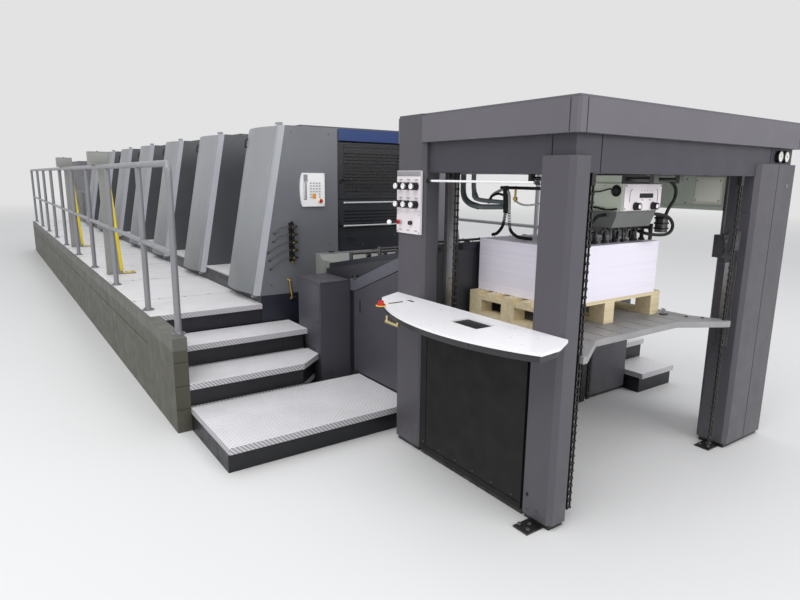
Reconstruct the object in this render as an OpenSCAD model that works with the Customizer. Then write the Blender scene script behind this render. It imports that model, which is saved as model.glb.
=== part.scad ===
// Sheet-fed offset printing press: pile feeder, seven printing units and delivery.
// Y runs along the machine from the feeder to the delivery, X across it with the
// operator side at low X, and Z up from the floor.

/* [Printing units] */
// Number of printing units in the row
unit_count = 7; // [3:1:8]
// Distance from one unit's front face to the next
unit_pitch = 1390; // [1300:10:1500]
// Length of one unit along the machine
unit_len = 670; // [600:10:760]
// Height of a unit's roof above the floor
unit_top_z = 2000; // [1850:10:2150]
// Height of a side cover's lower edge
cover_bottom_z = 680; // [650:5:760]
// Half width of a unit over its covers, at their lower edge
unit_foot_x = 1090; // [1020:10:1160]
// Half width of a unit over its covers, at the roof
unit_roof_x = 840; // [780:10:900]
// Thickness of a side cover at its edges
cover_edge_t = 34; // [28:1:50]
// How far a side cover bulges at its middle
cover_crown = 34; // [15:1:45]
// Width of the flat part of a side cover beside its hinge
cover_fold = 84; // [75:1:120]
// Wall left where the back of a cover is hollowed
cover_wall = 12; // [8:1:16]
// Width of the fixed bevelled strip beside each cover
corner_strip_w = 72; // [50:2:100]
// Height of the bridges between the units
bridge_top_z = 1100; // [1000:10:1200]
// Height of the treads beside the bridges
tread_z = 750; // [700:5:780]
// Gap round a hinged cover or guard
cover_gap = 6; // [5:0.5:8]

/* [Unit guards] */
// Half width of the guard in the front of a unit
guard_half_w = 340; // [280:10:400]
// Height of the lower edge of the guard field
guard_bottom_z = 990; // [950:10:1050]
// Height of the lower edge of the coloured head strip
guard_strip_z = 1905; // [1780:5:1960]
// Height of the lower edge of the hinged slatted guard
guard_split_z = 1430; // [1300:5:1600]
// Depth of the guard field in the unit's front
guard_recess = 60; // [45:5:90]
// Thickness of the guard panels
guard_t = 26; // [20:1:34]
// Distance between guard slats
slat_pitch = 28; // [22:2:48]
// Height of one guard slat
slat_h = 12; // [8:1:16]

/* [Feeder gantry] */
// Distance of the gantry's operator face from the machine's middle
gantry_left_x = 800; // [740:10:840]
// Distance of the gantry's drive face from the machine's middle
gantry_right_x = 1230; // [1180:10:1280]
// Length of the gantry along the machine
gantry_len = 1280; // [1200:10:1400]
// Height of the gantry's top
gantry_top_z = 1950; // [1850:10:2050]
// Height of the head cover round the gantry's top
head_cover_h = 150; // [110:5:200]
// Height of the recessed header under the head cover
header_h = 160; // [120:5:200]
// How far the header stands back from the head cover
header_inset = 36; // [20:2:60]
// Width of the operator side pillars
left_pillar_w = 130; // [110:5:160]
// Inner face of the drive side pillars
right_pillar_x = 780; // [760:5:820]
// Length of the front pillars along the machine
front_pillar_len = 190; // [150:5:230]
// Length of the rear pillars along the machine
rear_pillar_len = 255; // [200:5:300]
// How far the front pillars stand back from the head cover's front
pillar_set_back = 14; // [5:1:30]
// Height that a front pillar's cladding laps over the header
cladding_lap = 70; // [40:5:100]
// Chamfer along the pillar corners
pillar_chamfer = 22; // [10:1:35]
// Height of the plinths under the pillars
plinth_h = 30; // [20:1:50]
// How far the plinths stand back from the pillars
plinth_inset = 18; // [10:1:30]
// Thickness of sheet panels on the machine
sheet_t = 30; // [20:1:40]

/* [Console desk] */
// Height of the desk's upper face
desk_top_z = 940; // [880:5:1000]
// Thickness of the desk top
desk_t = 46; // [34:1:60]
// How far the desk reaches out from the gantry
desk_reach = 390; // [340:5:430]
// Front end of the desk, ahead of the gantry
desk_front = 100; // [60:5:160]

/* [Lift and pile] */
// Distance of the lift chains from the machine's middle
chain_x = 640; // [610:2:644]
// Distance of the front chains from the gantry's front
chain_front_y = 40; // [32:1:50]
// Distance of the rear chains from the gantry's front
chain_rear_gap = 95; // [85:5:120]
// Pitch of the lift chains
chain_pitch = 38; // [32:1:50]
// Height of the pile platform's upper face
platform_top_z = 830; // [820:5:900]
// Thickness of the pile platform
platform_t = 34; // [28:1:45]
// Half width of the pile platform
platform_half_w = 585; // [560:5:590]
// Half width of the platform's front edge between the lift arms
platform_nose_half_w = 360; // [300:10:420]
// Height of the pallet
pallet_h = 140; // [120:5:160]
// Half width of the pallet
pallet_half_w = 478; // [430:2:500]
// Front of the pallet behind the gantry's front
pallet_front_y = 355; // [330:5:380]
// Length of the pallet along the machine
pallet_len = 620; // [560:5:630]
// Height of the paper pile
paper_h = 300; // [200:10:320]
// Half width of the paper pile
paper_half_w = 408; // [350:2:430]

/* [Suction head] */
// Half width of the head's case
head_half_w = 160; // [140:5:200]
// Front of the control face
head_front_y = 211; // [200:1:240]
// Length of the head along the machine
head_len = 310; // [260:5:340]
// Height of the case
head_case_h = 137; // [120:1:150]
// Height of the valve block under the case
valve_block_h = 85; // [70:1:95]
// Half width of the bar that carries the suckers
sucker_bar_half_w = 340; // [300:5:360]
// Height from the suckers' rims to the valve block
sucker_reach = 96; // [90:1:110]
// Gap between the suckers and the paper
sucker_gap = 6; // [5:0.5:12]
// Radius of a sucker
sucker_r = 17; // [12:1:20]

/* [Infeed] */
// Half width of the infeed between its side panels
infeed_half_w = 550; // [500:10:590]
// Height of the infeed side rail at the gantry
infeed_high_z = 1215; // [1150:5:1240]
// Height of the infeed side rail at its lower end
infeed_low_z = 868; // [800:2:900]
// Height of the lighter band along the top of the infeed side
side_band_h = 86; // [60:2:110]
// Clear length between the gantry and the first unit
infeed_len = 1520; // [1400:10:1650]
// Length of the infeed side door
door_len = 865; // [800:5:870]
// Length of the operator cabinet along the machine
cabinet_len = 370; // [300:10:420]
// Height of the operator cabinet's top
cabinet_top_z = 853; // [780:5:900]

/* [Gallery] */
// Distance of the gallery's outer face from the machine's middle
gallery_x = 1920; // [1850:10:2000]
// Height of the gallery deck
deck_z = 620; // [600:10:640]
// Thickness of the checker plates with their nosing
deck_t = 40; // [30:1:50]
// Height of the light boxes on the screens across the gallery
screen_box_h = 124; // [90:2:160]
// Distance of the deck's inner edge from the machine's middle
deck_inner_x = 1050; // [1010:10:1060]
// Height of the upper band of the gallery's skirt
skirt_band_h = 190; // [120:5:240]
// Depth of the deep lower step
low_step_depth = 710; // [600:10:760]
// Depth of the upper steps
step_depth = 350; // [300:10:390]
// Setback of the risers under the step nosing
riser_set_back = 25; // [15:1:40]
// Height of the handrail above the deck
rail_h = 1060; // [1000:10:1150]
// Height of the middle rail above the deck
mid_rail_h = 515; // [450:5:650]
// Outer radius of the handrail tube
rail_r = 21; // [16:1:25]
// Distance between handrail posts
post_pitch = 1250; // [1100:10:1400]
// First post to the second
first_post_gap = 830; // [700:10:1000]
// Length of the gallery beyond the last unit
gallery_tail = 1470; // [1300:10:1700]

/* [Delivery] */
// Length of the delivery behind the last unit's transfer
delivery_len = 3000; // [2600:50:3300]
// Half width of the delivery
delivery_half_w = 900; // [850:10:960]
// Height of the delivery's front housing
delivery_low_z = 1250; // [1150:10:1400]
// Height of the delivery hood
delivery_hood_z = 1900; // [1750:10:2000]
// Half width of the pile bay in the delivery's end
bay_half_w = 560; // [480:10:620]
// Length of the pile bay
bay_len = 1250; // [1000:10:1400]
// Height of the pile bay
bay_top_z = 1120; // [900:10:1180]

/* [Hidden] */

// The last unit and the machine's ends
unit_1_y = gantry_len + infeed_len;
last_unit_end = unit_1_y + (unit_count - 1) * unit_pitch + unit_len;
delivery_y = last_unit_end + unit_pitch - unit_len;
rear_end = delivery_y + delivery_len;
y_mid = (rear_end - desk_front) / 2;

// Gantry heights and places
head_cover_z = gantry_top_z - head_cover_h;
header_z = head_cover_z - header_h;
cladding_top_z = header_z + cladding_lap;
rear_pillar_y = gantry_len - rear_pillar_len;
chain_rear_y = rear_pillar_y - chain_rear_gap;
pile_back_y = pallet_front_y + pallet_len;
seam_w = 6;
seam_depth = 5;

// Lift, pile and head heights
pallet_top_z = platform_top_z + pallet_h;
paper_top_z = pallet_top_z + paper_h;
paper_y = pallet_front_y - 5;
paper_len = pallet_len + 10;
valve_z = paper_top_z + sucker_gap + sucker_reach;
case_z = valve_z + valve_block_h;
case_top_z = case_z + head_case_h;
chain_bottom_z = 62;

// Side cover geometry
cover_lean = atan((unit_foot_x - unit_roof_x) / (unit_top_z - cover_bottom_z));
cover_w = unit_len - corner_strip_w - 2 * cover_gap;
cover_pin_r = 7;
cover_pin_reach = 20;
cover_lug_gap = 9;
cover_rise = (unit_top_z - cover_bottom_z) / cos(cover_lean);
crown_w = cover_w - cover_fold;
crown_r = (crown_w * crown_w / 4 + cover_crown * cover_crown) / (2 * cover_crown);
cover_inset = (cover_edge_t + cover_gap) / cos(cover_lean);

// Gallery places
gallery_y = unit_1_y - 20;
gallery_end = last_unit_end + gallery_tail;
low_step_y = gallery_y - 2 * step_depth - low_step_depth;
riser_h = deck_z / 4;
skirt_t = 30;
post_x = gallery_x - 70;
skirt_y = gallery_y - 2 * step_depth;
first_post_y = skirt_y + 110;
curb_w = 90;
drive_deck_y = gallery_y - 3 * step_depth - 10;

// Shared clearances and small radii
seat = 0.3;
join = 1;

$fn = 48;
arc_fn = 720;

module placed() {
    translate([0, -y_mid, 0]) children();
}

module block(low, high) {
    translate(low) cube(high - low);
}

// Profile given as [x, z] points, drawn from one Y to another
module across(y0, y1, points) {
    translate([0, y1, 0]) rotate([90, 0, 0]) linear_extrude(y1 - y0) polygon(points);
}

// Profile given as [y, z] points, drawn from one X to another
module along(x0, x1, points) {
    translate([x0, 0, 0]) rotate([90, 0, 90]) linear_extrude(x1 - x0) polygon(points);
}

// Profile given as [x, y] points, drawn from one height to another
module upright(z0, z1, points) {
    translate([0, 0, z0]) linear_extrude(z1 - z0) polygon(points);
}

module both_sides() {
    children();
    mirror([1, 0, 0]) children();
}

// Round bar between two points that differ along one axis only
module bar_x(x0, x1, y, z, r) {
    translate([x0, y, z]) rotate([0, 90, 0]) cylinder(h = x1 - x0, r = r);
}

module bar_y(y0, y1, x, z, r) {
    translate([x, y1, z]) rotate([90, 0, 0]) cylinder(h = y1 - y0, r = r);
}

module bar_z(z0, z1, x, y, r) {
    translate([x, y, z0]) cylinder(h = z1 - z0, r = r);
}

// Plan outline of a box with its four corners cut at 45 degrees
function chamfered(x0, x1, y0, y1, c) = [
    [x0 + c, y0], [x1 - c, y0], [x1, y0 + c], [x1, y1 - c],
    [x1 - c, y1], [x0 + c, y1], [x0, y1 - c], [x0, y0 + c]
];

// Feeder gantry

header_x0 = -gantry_left_x + header_inset;
header_x1 = gantry_right_x - header_inset;
header_y0 = header_inset;
header_y1 = gantry_len - header_inset;
left_pillar_x = -gantry_left_x + left_pillar_w;

module header_volume() {
    block([header_x0, header_y0, header_z], [header_x1, header_y1, head_cover_z]);
}

module feeder_head_cover() {
    front_seam_y = 46;
    edge = 12;
    color([0.42, 0.41, 0.44]) placed() difference() {
        union() {
            upright(head_cover_z, gantry_top_z - edge,
                chamfered(-gantry_left_x, gantry_right_x, 0, gantry_len, edge));
            block([-gantry_left_x + edge, edge, gantry_top_z - edge],
                [gantry_right_x - edge, gantry_len - edge, gantry_top_z]);
        }
        block([-gantry_left_x - join, front_seam_y, head_cover_z - join],
            [-gantry_left_x + seam_depth, front_seam_y + seam_w, gantry_top_z + join]);
        for (side = [0, 1]) rear_pillar_shape(side);
        for (x = [-gantry_left_x + front_seam_y, gantry_right_x - front_seam_y])
            block([x, -join, head_cover_z - join], [x + seam_w, seam_depth, gantry_top_z + join]);
    }
}

module feeder_header() {
    panel_seams = [-gantry_left_x + 200, gantry_right_x - 300];
    color([0.27, 0.27, 0.31]) placed() difference() {
        header_volume();
        for (side = [0, 1]) rear_pillar_shape(side);
        for (x = panel_seams)
            block([x, header_y0 - join, header_z - join], [x + seam_w, header_y0 + seam_depth, head_cover_z]);
        block([header_x0 - join, 160, header_z - join],
            [header_x0 + seam_depth, 160 + seam_w, head_cover_z]);
    }
}

// The rear pillars run up to the gantry's top, the front ones end at the header
module rear_pillar_shape(side) {
    x0 = side == 0 ? -gantry_left_x : right_pillar_x;
    x1 = side == 0 ? left_pillar_x : gantry_right_x;
    upright(plinth_h, gantry_top_z, chamfered(x0, x1, rear_pillar_y, gantry_len, pillar_chamfer));
}

module front_pillar_shape(x0, x1) {
    y0 = pillar_set_back;
    upright(plinth_h, cladding_top_z, chamfered(x0, x1, y0, y0 + front_pillar_len, pillar_chamfer));
}

module pillar_front_left() {
    color([0.42, 0.41, 0.44]) placed() difference() {
        front_pillar_shape(-gantry_left_x, left_pillar_x);
        header_volume();
    }
}

module pillar_rear_left() {
    color([0.42, 0.41, 0.44]) placed() rear_pillar_shape(0);
}

module pillar_front_right() {
    seam_x = right_pillar_x + 220;
    plate_t = 4;
    plate_y = pillar_set_back + pillar_chamfer;
    color([0.40, 0.40, 0.42]) placed() difference() {
        union() {
            front_pillar_shape(right_pillar_x, gantry_right_x);
            block([right_pillar_x - plate_t, plate_y, header_z - 198], [right_pillar_x + join, plate_y + 100, header_z]);
        }
        header_volume();
        block([seam_x, 0, plinth_h - join],
            [seam_x + seam_w, pillar_set_back + seam_depth, cladding_top_z + join]);
    }
}

module pillar_rear_right() {
    color([0.33, 0.33, 0.34]) placed() rear_pillar_shape(1);
}

module plinths() {
    foot_w = 90;
    foot_t = 8;
    foot_reach = 95;
    foot_y = pillar_set_back + 46;
    toe_x = -gantry_left_x + plinth_inset;
    color([0.10, 0.10, 0.11]) placed() {
        for (y0 = [pillar_set_back, rear_pillar_y])
            for (xs = [[-gantry_left_x, left_pillar_x], [right_pillar_x, gantry_right_x]]) {
                len = y0 == rear_pillar_y ? rear_pillar_len : front_pillar_len;
                block([xs[0] + plinth_inset, y0 + plinth_inset, 0],
                    [xs[1] - plinth_inset, y0 + len - plinth_inset, plinth_h]);
            }
        for (x = [-gantry_left_x, right_pillar_x])
            block([x - foot_reach, foot_y, 0], [x + plinth_inset + join, foot_y + foot_w, foot_t]);
        block([toe_x, pillar_set_back + front_pillar_len, 0],
            [toe_x + sheet_t, rear_pillar_y, plinth_h]);
    }
}

module desk_side_panel() {
    y0 = pillar_set_back + front_pillar_len;
    x0 = -gantry_left_x + 4;
    top_z = desk_top_z - desk_t;
    skirt_z = 60;
    color([0.14, 0.14, 0.15]) placed() difference() {
        block([x0, y0, plinth_h], [x0 + sheet_t, rear_pillar_y, top_z]);
        block([x0 - join, y0 - join, skirt_z], [x0 + seam_depth, rear_pillar_y + join, skirt_z + seam_w]);
        block([x0 - join, rear_pillar_y - 60, skirt_z],
            [x0 + seam_depth, rear_pillar_y - 60 + seam_w, top_z + join]);
    }
}

// Desk outline: a long bowed front edge with both ends drawn in and rounded
desk_bow = 150;
desk_end_r = 70;
desk_span = 1180;

module desk_outline(grow) {
    back_x = -gantry_left_x;
    front_x = back_x - desk_reach - grow;
    r = (desk_span * desk_span / 4 + desk_bow * desk_bow) / (2 * desk_bow);
    mid_y = 470;
    flat_y0 = 300;
    flat_y1 = 800;
    tip_y = gantry_len - 260;
    near_x = back_x - 260;
    far_x = back_x - 330;
    intersection() {
        translate([front_x + r, mid_y]) circle(r = r, $fn = arc_fn);
        union() {
            polygon([[back_x, -20 - grow], [back_x - 125, -84 - grow], [near_x, -desk_front - grow],
                [near_x - desk_end_r - grow, -desk_front + desk_end_r], [front_x, flat_y0], [front_x, flat_y1],
                [far_x - desk_end_r - grow, tip_y], [far_x, tip_y + desk_end_r + grow],
                [back_x, gantry_len - 20 + grow]]);
            translate([near_x, -desk_front + desk_end_r]) circle(r = desk_end_r + grow);
            translate([far_x, tip_y]) circle(r = desk_end_r + grow);
        }
    }
}

module console_desk() {
    lip = 14;
    tray_depth = 8;
    tray_y = 330;
    tray_len = 190;
    tray_w = 120;
    color([0.90, 0.90, 0.90]) placed() difference() {
        union() {
            translate([0, 0, desk_top_z - desk_t]) linear_extrude(desk_t - lip) desk_outline(-lip);
            translate([0, 0, desk_top_z - lip]) linear_extrude(lip) desk_outline(0);
        }
        block([-gantry_left_x - 90 - tray_w, tray_y, desk_top_z - tray_depth],
            [-gantry_left_x - 90, tray_y + tray_len, desk_top_z + join]);
    }
}

module desk_controls() {
    button_y = 985;
    button_x = -gantry_left_x - 300;
    handle_y = 890;
    handle_x = -gantry_left_x - 290;
    under_z = desk_top_z - desk_t;
    grip_r = 9;
    color([0.75, 0.15, 0.12]) placed() {
        bar_z(desk_top_z, desk_top_z + 8, button_x, button_y, 24);
        bar_z(desk_top_z + 8, desk_top_z + 26, button_x, button_y, 16);
        block([button_x + 60, button_y + 10, desk_top_z], [button_x + 150, button_y + 18, desk_top_z + 4]);
    }
    color([0.75, 0.65, 0.35]) placed() {
        bar_y(handle_y - 60, handle_y + 60, handle_x, under_z - 34, grip_r);
        for (y = [handle_y - 50, handle_y + 50]) bar_z(under_z - 34, under_z, handle_x, y, grip_r - 2);
    }
}

panel_y0 = rear_pillar_y + 8;
panel_y1 = gantry_len - 22;
panel_z0 = 1300;
panel_z1 = 1650;
panel_t = 14;
panel_x = -gantry_left_x - panel_t;

module feeder_control_panel() {
    color([0.84, 0.80, 0.82]) placed() difference() {
        block([panel_x, panel_y0, panel_z0], [-gantry_left_x, panel_y1, panel_z1]);
        block([panel_x - join, panel_y0 - join, panel_z0 + 118],
            [panel_x + 3, panel_y1 + join, panel_z0 + 122]);
    }
}

module control_knobs() {
    knob_r = 19;
    knob_h = 30;
    step_y = (panel_y1 - panel_y0) / 3;
    color([0.08, 0.08, 0.08]) placed() {
        for (i = [0:2])
            for (z = [panel_z1 - 85, panel_z1 - 185]) {
                bar_x(panel_x - knob_h, panel_x, panel_y0 + (i + 0.5) * step_y, z, knob_r);
                bar_x(panel_x - knob_h - 12, panel_x - knob_h, panel_y0 + (i + 0.5) * step_y, z, knob_r - 4);
            }
        bar_x(panel_x - 14, panel_x, panel_y0 + 1.1 * step_y, panel_z0 + 62, 12);
        bar_x(panel_x - 60, panel_x, panel_y1 - 40, panel_z0 + 62, 5);
        bar_x(panel_x - 80, panel_x - 60, panel_y1 - 40, panel_z0 + 62, 10);
    }
}

module pressure_gauges() {
    gauge_r = 19;
    gauge_t = 16;
    face_y = header_y0;
    z = head_cover_z - 46;
    color([0.85, 0.85, 0.85]) placed()
        for (x = [gantry_right_x - 200, gantry_right_x - 150])
            bar_y(face_y - gauge_t, face_y, x, z, gauge_r);
}

module light_bar() {
    tube_r = 6;
    x = -gantry_left_x + 26;
    z = header_z - 44;
    cap_len = 24;
    color([0.95, 0.95, 0.95]) placed() {
        bar_y(pillar_set_back + front_pillar_len, rear_pillar_y, x, z, tube_r);
        bar_y(rear_pillar_y - cap_len, rear_pillar_y, x, z, tube_r + 3);
        bar_y(pillar_set_back + front_pillar_len, pillar_set_back + front_pillar_len + cap_len, x, z, tube_r + 3);
    }
}

module drive_inner_panel() {
    x0 = right_pillar_x + 20;
    y0 = pillar_set_back + front_pillar_len;
    z0 = header_z - 199;
    plate_y = y0 + 10;
    color([0.55, 0.57, 0.52]) placed() {
        block([x0, y0, z0], [x0 + sheet_t, rear_pillar_y, header_z]);
        block([x0 - 6, y0, z0], [x0, rear_pillar_y, z0 + 22]);
        block([x0 - 4, plate_y, z0 + 38], [x0, plate_y + 170, header_z - 6]);
    }
}

// Lift chains: two scalloped side plates with the pins between them

chain_w = 24;
chain_plate_t = 4;
chain_plate_r = 9;

module chain_plate(h) {
    count = floor(h / chain_pitch);
    waist = chain_plate_r * 0.55;
    linear_extrude(chain_plate_t) union() {
        translate([-waist, 0]) square([2 * waist, count * chain_pitch]);
        for (i = [0:count]) translate([0, i * chain_pitch]) circle(r = chain_plate_r, $fn = 24);
    }
}

module lift_chain(x, y) {
    h = header_z - chain_bottom_z - chain_plate_r - chain_pitch / 2;
    count = floor(h / chain_pitch);
    translate([x, y, chain_bottom_z + chain_plate_r]) {
        for (side = [-chain_w / 2, chain_w / 2 - chain_plate_t])
            translate([side, 0, 0]) rotate([90, 0, 90]) chain_plate(h);
        for (i = [0:count])
            translate([-chain_w / 2, 0, i * chain_pitch]) rotate([0, 90, 0])
                cylinder(h = chain_w, r = chain_plate_r * 0.6, $fn = 24);
    }
    top = chain_bottom_z + chain_plate_r + count * chain_pitch;
    block([x - chain_w / 2, y - chain_plate_r, top], [x + chain_w / 2, max(y, header_y0) + 2 * chain_plate_r, header_z]);
}

module lift_chains() {
    color([0.15, 0.15, 0.15]) placed() {
        for (x = [-chain_x, chain_x])
            for (y = [chain_front_y, chain_rear_y]) lift_chain(x, y);
    }
}

// Channel beside the front chain on the drive side, under the arm of the pile's height sensor
sensor_z = 1155;
sensor_arm_h = 60;
channel_w = 80;
channel_t = 4;

module sensor_channel(y) {
    x1 = right_pillar_x - seat;
    x0 = x1 - channel_w;
    z0 = sensor_z - 515;
    block([x0, y + 26, z0], [x1, y + 26 + channel_t, sensor_z]);
    for (x = [x0, x1 - channel_t]) block([x, y, z0], [x + channel_t, y + 26 + join, sensor_z]);
    block([x1 - channel_t, y, sensor_z + sensor_arm_h], [x1, y + 24, sensor_z + 175]);
}

module pile_sensor(y) {
    box_x = chain_x - 40;
    block([box_x + 45, y + 8, sensor_z + seat], [right_pillar_x - seat, y + 40, sensor_z + sensor_arm_h - seat]);
    block([box_x, y + 4, sensor_z + 32], [box_x + 55, y + 60, sensor_z + 160]);
}

module chain_guides() {
    back_y0 = chain_rear_y + 40;
    back_y1 = back_y0 + 8;
    flange = 6;
    strip_y = pillar_set_back + 44;
    color([0.62, 0.62, 0.60]) placed() {
        both_sides() {
            block([chain_x - 25, back_y0, plinth_h], [chain_x + 25, back_y1, header_z]);
            block([chain_x + 25 - flange, back_y1 - join, plinth_h], [chain_x + 25, back_y1 + 24, header_z]);
            block([chain_x - 25, back_y1 - join, plinth_h], [chain_x - 25 + flange, back_y1 + 24, header_z]);
        }
        block([left_pillar_x, strip_y, plinth_h], [left_pillar_x + 4, strip_y + 30, header_z]);
        sensor_channel(strip_y + 16);
    }
    color([0.10, 0.10, 0.10]) placed() pile_sensor(strip_y + 16);
}

// Suction head over the front edge of the pile, hung on two slide rods

rod_x = 110;
rod_r = 10;
rod_z = header_z - 24;
rod_y0 = header_y0 + 40;
rod_y1 = chain_rear_y - 40;

module head_carrier() {
    bracket_w = 36;
    bracket_t = 24;
    color([0.25, 0.25, 0.27]) placed() both_sides() {
        bar_y(rod_y0, rod_y1, rod_x, rod_z, rod_r);
        for (y = [rod_y0, rod_y1 - bracket_t])
            block([rod_x - bracket_w / 2, y, rod_z - bracket_w / 2], [rod_x + bracket_w / 2, y + bracket_t, header_z]);
    }
}

face_t = 12;
carriage_half_w = head_half_w - 10;
sucker_bar_y = head_front_y + 170;
sucker_bar_w = 24;
sucker_bar_h = 30;

// Case with a carriage on its roof that runs on the two rods
module head_case(y0, y1) {
    fan_r = 29;
    fan_y = y0 + 36;
    fan_z = case_top_z - 36;
    fan_depth = 8;
    color([0.80, 0.84, 0.76]) placed() difference() {
        union() {
            block([-head_half_w, y0, case_z], [head_half_w, y1, case_top_z]);
            block([-carriage_half_w, y0 + 10, case_top_z - join], [carriage_half_w, y1 - 20, header_z - 6]);
        }
        bar_x(-head_half_w - join, -head_half_w + fan_depth, fan_y, fan_z, fan_r);
        both_sides() bar_y(y0, y1, rod_x, rod_z, rod_r + seat);
    }
    color([0.20, 0.20, 0.20]) placed()
        bar_x(-head_half_w - fan_depth / 2, -head_half_w + fan_depth, fan_y, fan_z, fan_r / 2);
}

// Valve block under the case, and the bar with the suckers' seats and the edge foot
module head_valves(y0, y1) {
    bevel = 24;
    foot_x = 285;
    foot_w = 20;
    foot_y = pallet_front_y - 24;
    color([0.42, 0.44, 0.42]) placed() {
        along(-head_half_w - 20, carriage_half_w, [[y0 + 10, case_z + join], [y0 + 10, case_z - bevel],
            [y0 + 10 + bevel, valve_z], [y1 - 20, valve_z], [y1 - 20, case_z + join]]);
        block([-sucker_bar_half_w, sucker_bar_y, valve_z - sucker_bar_h],
            [sucker_bar_half_w, sucker_bar_y + sucker_bar_w, valve_z + join]);
        block([foot_x, foot_y, valve_z - sucker_bar_h], [foot_x + foot_w, sucker_bar_y + join, valve_z]);
        block([foot_x, foot_y, paper_top_z + 2 * sucker_gap], [foot_x + foot_w, foot_y + 12, valve_z]);
    }
}

module suction_head() {
    head_case(head_front_y + face_t, head_front_y + head_len);
    head_valves(head_front_y + face_t, head_front_y + head_len);
}

module head_control_face() {
    y1 = head_front_y + face_t;
    display_x = 30;
    display_w = 120;
    display_h = 24;
    display_z = case_top_z - 72;
    knob_r = 16;
    knob_h = 26;
    knob_gap = 76;
    color([0.85, 0.80, 0.82]) placed() {
        difference() {
            block([-head_half_w + 4, head_front_y, case_z + 4], [head_half_w, y1, case_top_z - 2]);
            block([display_x - display_w / 2, head_front_y - join, display_z],
                [display_x + display_w / 2, head_front_y + 3, display_z + display_h]);
        }
        for (x = [display_x / 2 - knob_gap, display_x / 2 + knob_gap])
            bar_y(head_front_y - knob_h, head_front_y, x, case_z + 24, knob_r);
    }
}

module suckers() {
    y = sucker_bar_y + sucker_bar_w / 2;
    pitch = sucker_bar_half_w / 4;
    cup_h = 14;
    rim_z = paper_top_z + sucker_gap;
    color([0.08, 0.08, 0.08]) placed() both_sides()
        for (i = [0:3]) {
            x = (i + 0.5) * pitch;
            bar_z(rim_z, rim_z + cup_h, x, y, sucker_r);
            bar_z(rim_z + cup_h, valve_z - sucker_bar_h, x, y, sucker_r - 6);
        }
}

module head_hoses() {
    hose_r = 8;
    top_r = 88;
    low_r = 56;
    color([0.06, 0.06, 0.06]) placed() {
        translate([carriage_half_w, head_front_y + 60, header_z - 32 - top_r]) rotate([90, 90, 0])
            rotate_extrude(angle = 180) translate([top_r, 0]) circle(r = hose_r, $fn = 24);
        translate([carriage_half_w, sucker_bar_y + sucker_bar_w / 2, valve_z + join]) rotate([90, 0, 0])
            rotate_extrude(angle = 90) translate([low_r, 0]) circle(r = hose_r, $fn = 24);
    }
}

// Pile

clasp_gap = seat;
clasp_y = 32;

// Right half of the platform's outline from front to back, with an arm to each chain
function platform_half(y_front, y_back, tip_x) = [
    [platform_nose_half_w, y_front],
    [tip_x - 30, chain_front_y - clasp_y], [tip_x, chain_front_y - clasp_y], [tip_x, chain_front_y + clasp_y],
    [platform_half_w, y_front + 60], [platform_half_w, y_back - 170],
    [tip_x, chain_rear_y - clasp_y], [tip_x, chain_rear_y + clasp_y],
    [platform_half_w, chain_rear_y + clasp_y], [platform_half_w, y_back]
];

// The same points across the machine's middle, in the order that closes an outline
function across_middle(points) = [for (i = [len(points) - 1:-1:0]) [-points[i][0], points[i][1]]];

module pile_platform() {
    y_front = 160;
    y_back = chain_rear_y + 60;
    tip_x = chain_x + 10;
    half = platform_half(y_front, y_back, tip_x);
    color([0.38, 0.38, 0.38]) placed()
        translate([0, 0, platform_top_z - platform_t]) linear_extrude(platform_t) difference() {
            polygon(concat(half, across_middle(half)));
            for (x = [-chain_x, chain_x])
                for (y = [chain_front_y, chain_rear_y])
                    translate([x - chain_w, y - chain_plate_r - clasp_gap])
                        translate([x > 0 ? chain_w / 2 - clasp_gap : 0, 0])
                            square([1.5 * chain_w + clasp_gap, 2 * (chain_plate_r + clasp_gap)]);
        }
}

module pallet() {
    board_t = 22;
    leg_w = 86;
    leg_xs = [-pallet_half_w, -leg_w / 2, pallet_half_w - leg_w];
    leg_ys = [pallet_front_y, pallet_front_y + pallet_len / 2 - 50, pallet_front_y + pallet_len - 100];
    color([0.80, 0.68, 0.45]) placed() {
        for (x = leg_xs) {
            for (z = [platform_top_z, pallet_top_z - 2 * board_t])
                block([x, pallet_front_y, z], [x + leg_w, pallet_front_y + pallet_len, z + board_t]);
            for (y = leg_ys)
                block([x, y, platform_top_z], [x + leg_w, y + 100, pallet_top_z - board_t]);
        }
        for (i = [0:4]) {
            y = pallet_front_y + i * (pallet_len - 80) / 4;
            block([-pallet_half_w, y, pallet_top_z - board_t], [pallet_half_w, y + 80, pallet_top_z]);
        }
    }
}

module paper_pile() {
    color([0.97, 0.96, 0.98]) placed()
        block([-paper_half_w, paper_y, pallet_top_z], [paper_half_w, paper_y + paper_len, paper_top_z]);
}

// Infeed between the gantry and the first unit

infeed_y0 = gantry_len;
infeed_y1 = unit_1_y;

table_y0 = paper_y + paper_len + 20;
table_z0 = paper_top_z - 24;
table_z1 = 925;
table_t = 40;
drum_y0 = infeed_y1 - 160;
drum_z0 = 820;

module infeed_frame() {
    pile_stop_gap = 35;
    y0 = pile_back_y + pile_stop_gap;
    y1 = infeed_y1;
    slope = (table_z0 - table_z1) / (drum_y0 - table_y0);
    under = table_z0 - table_t - slope * (y0 - table_y0);
    color([0.16, 0.16, 0.18]) placed()
        along(-infeed_half_w, infeed_half_w,
            [[y0, 0], [y1, 0], [y1, drum_z0], [drum_y0, drum_z0], [drum_y0, table_z1 - table_t], [y0, under]]);
}

module feed_table() {
    x = infeed_half_w - 30;
    color([0.30, 0.31, 0.33]) placed()
        along(-x, x, [[table_y0, table_z0 - table_t], [drum_y0, table_z1 - table_t],
            [drum_y0, table_z1], [table_y0, table_z0]]);
}

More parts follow.
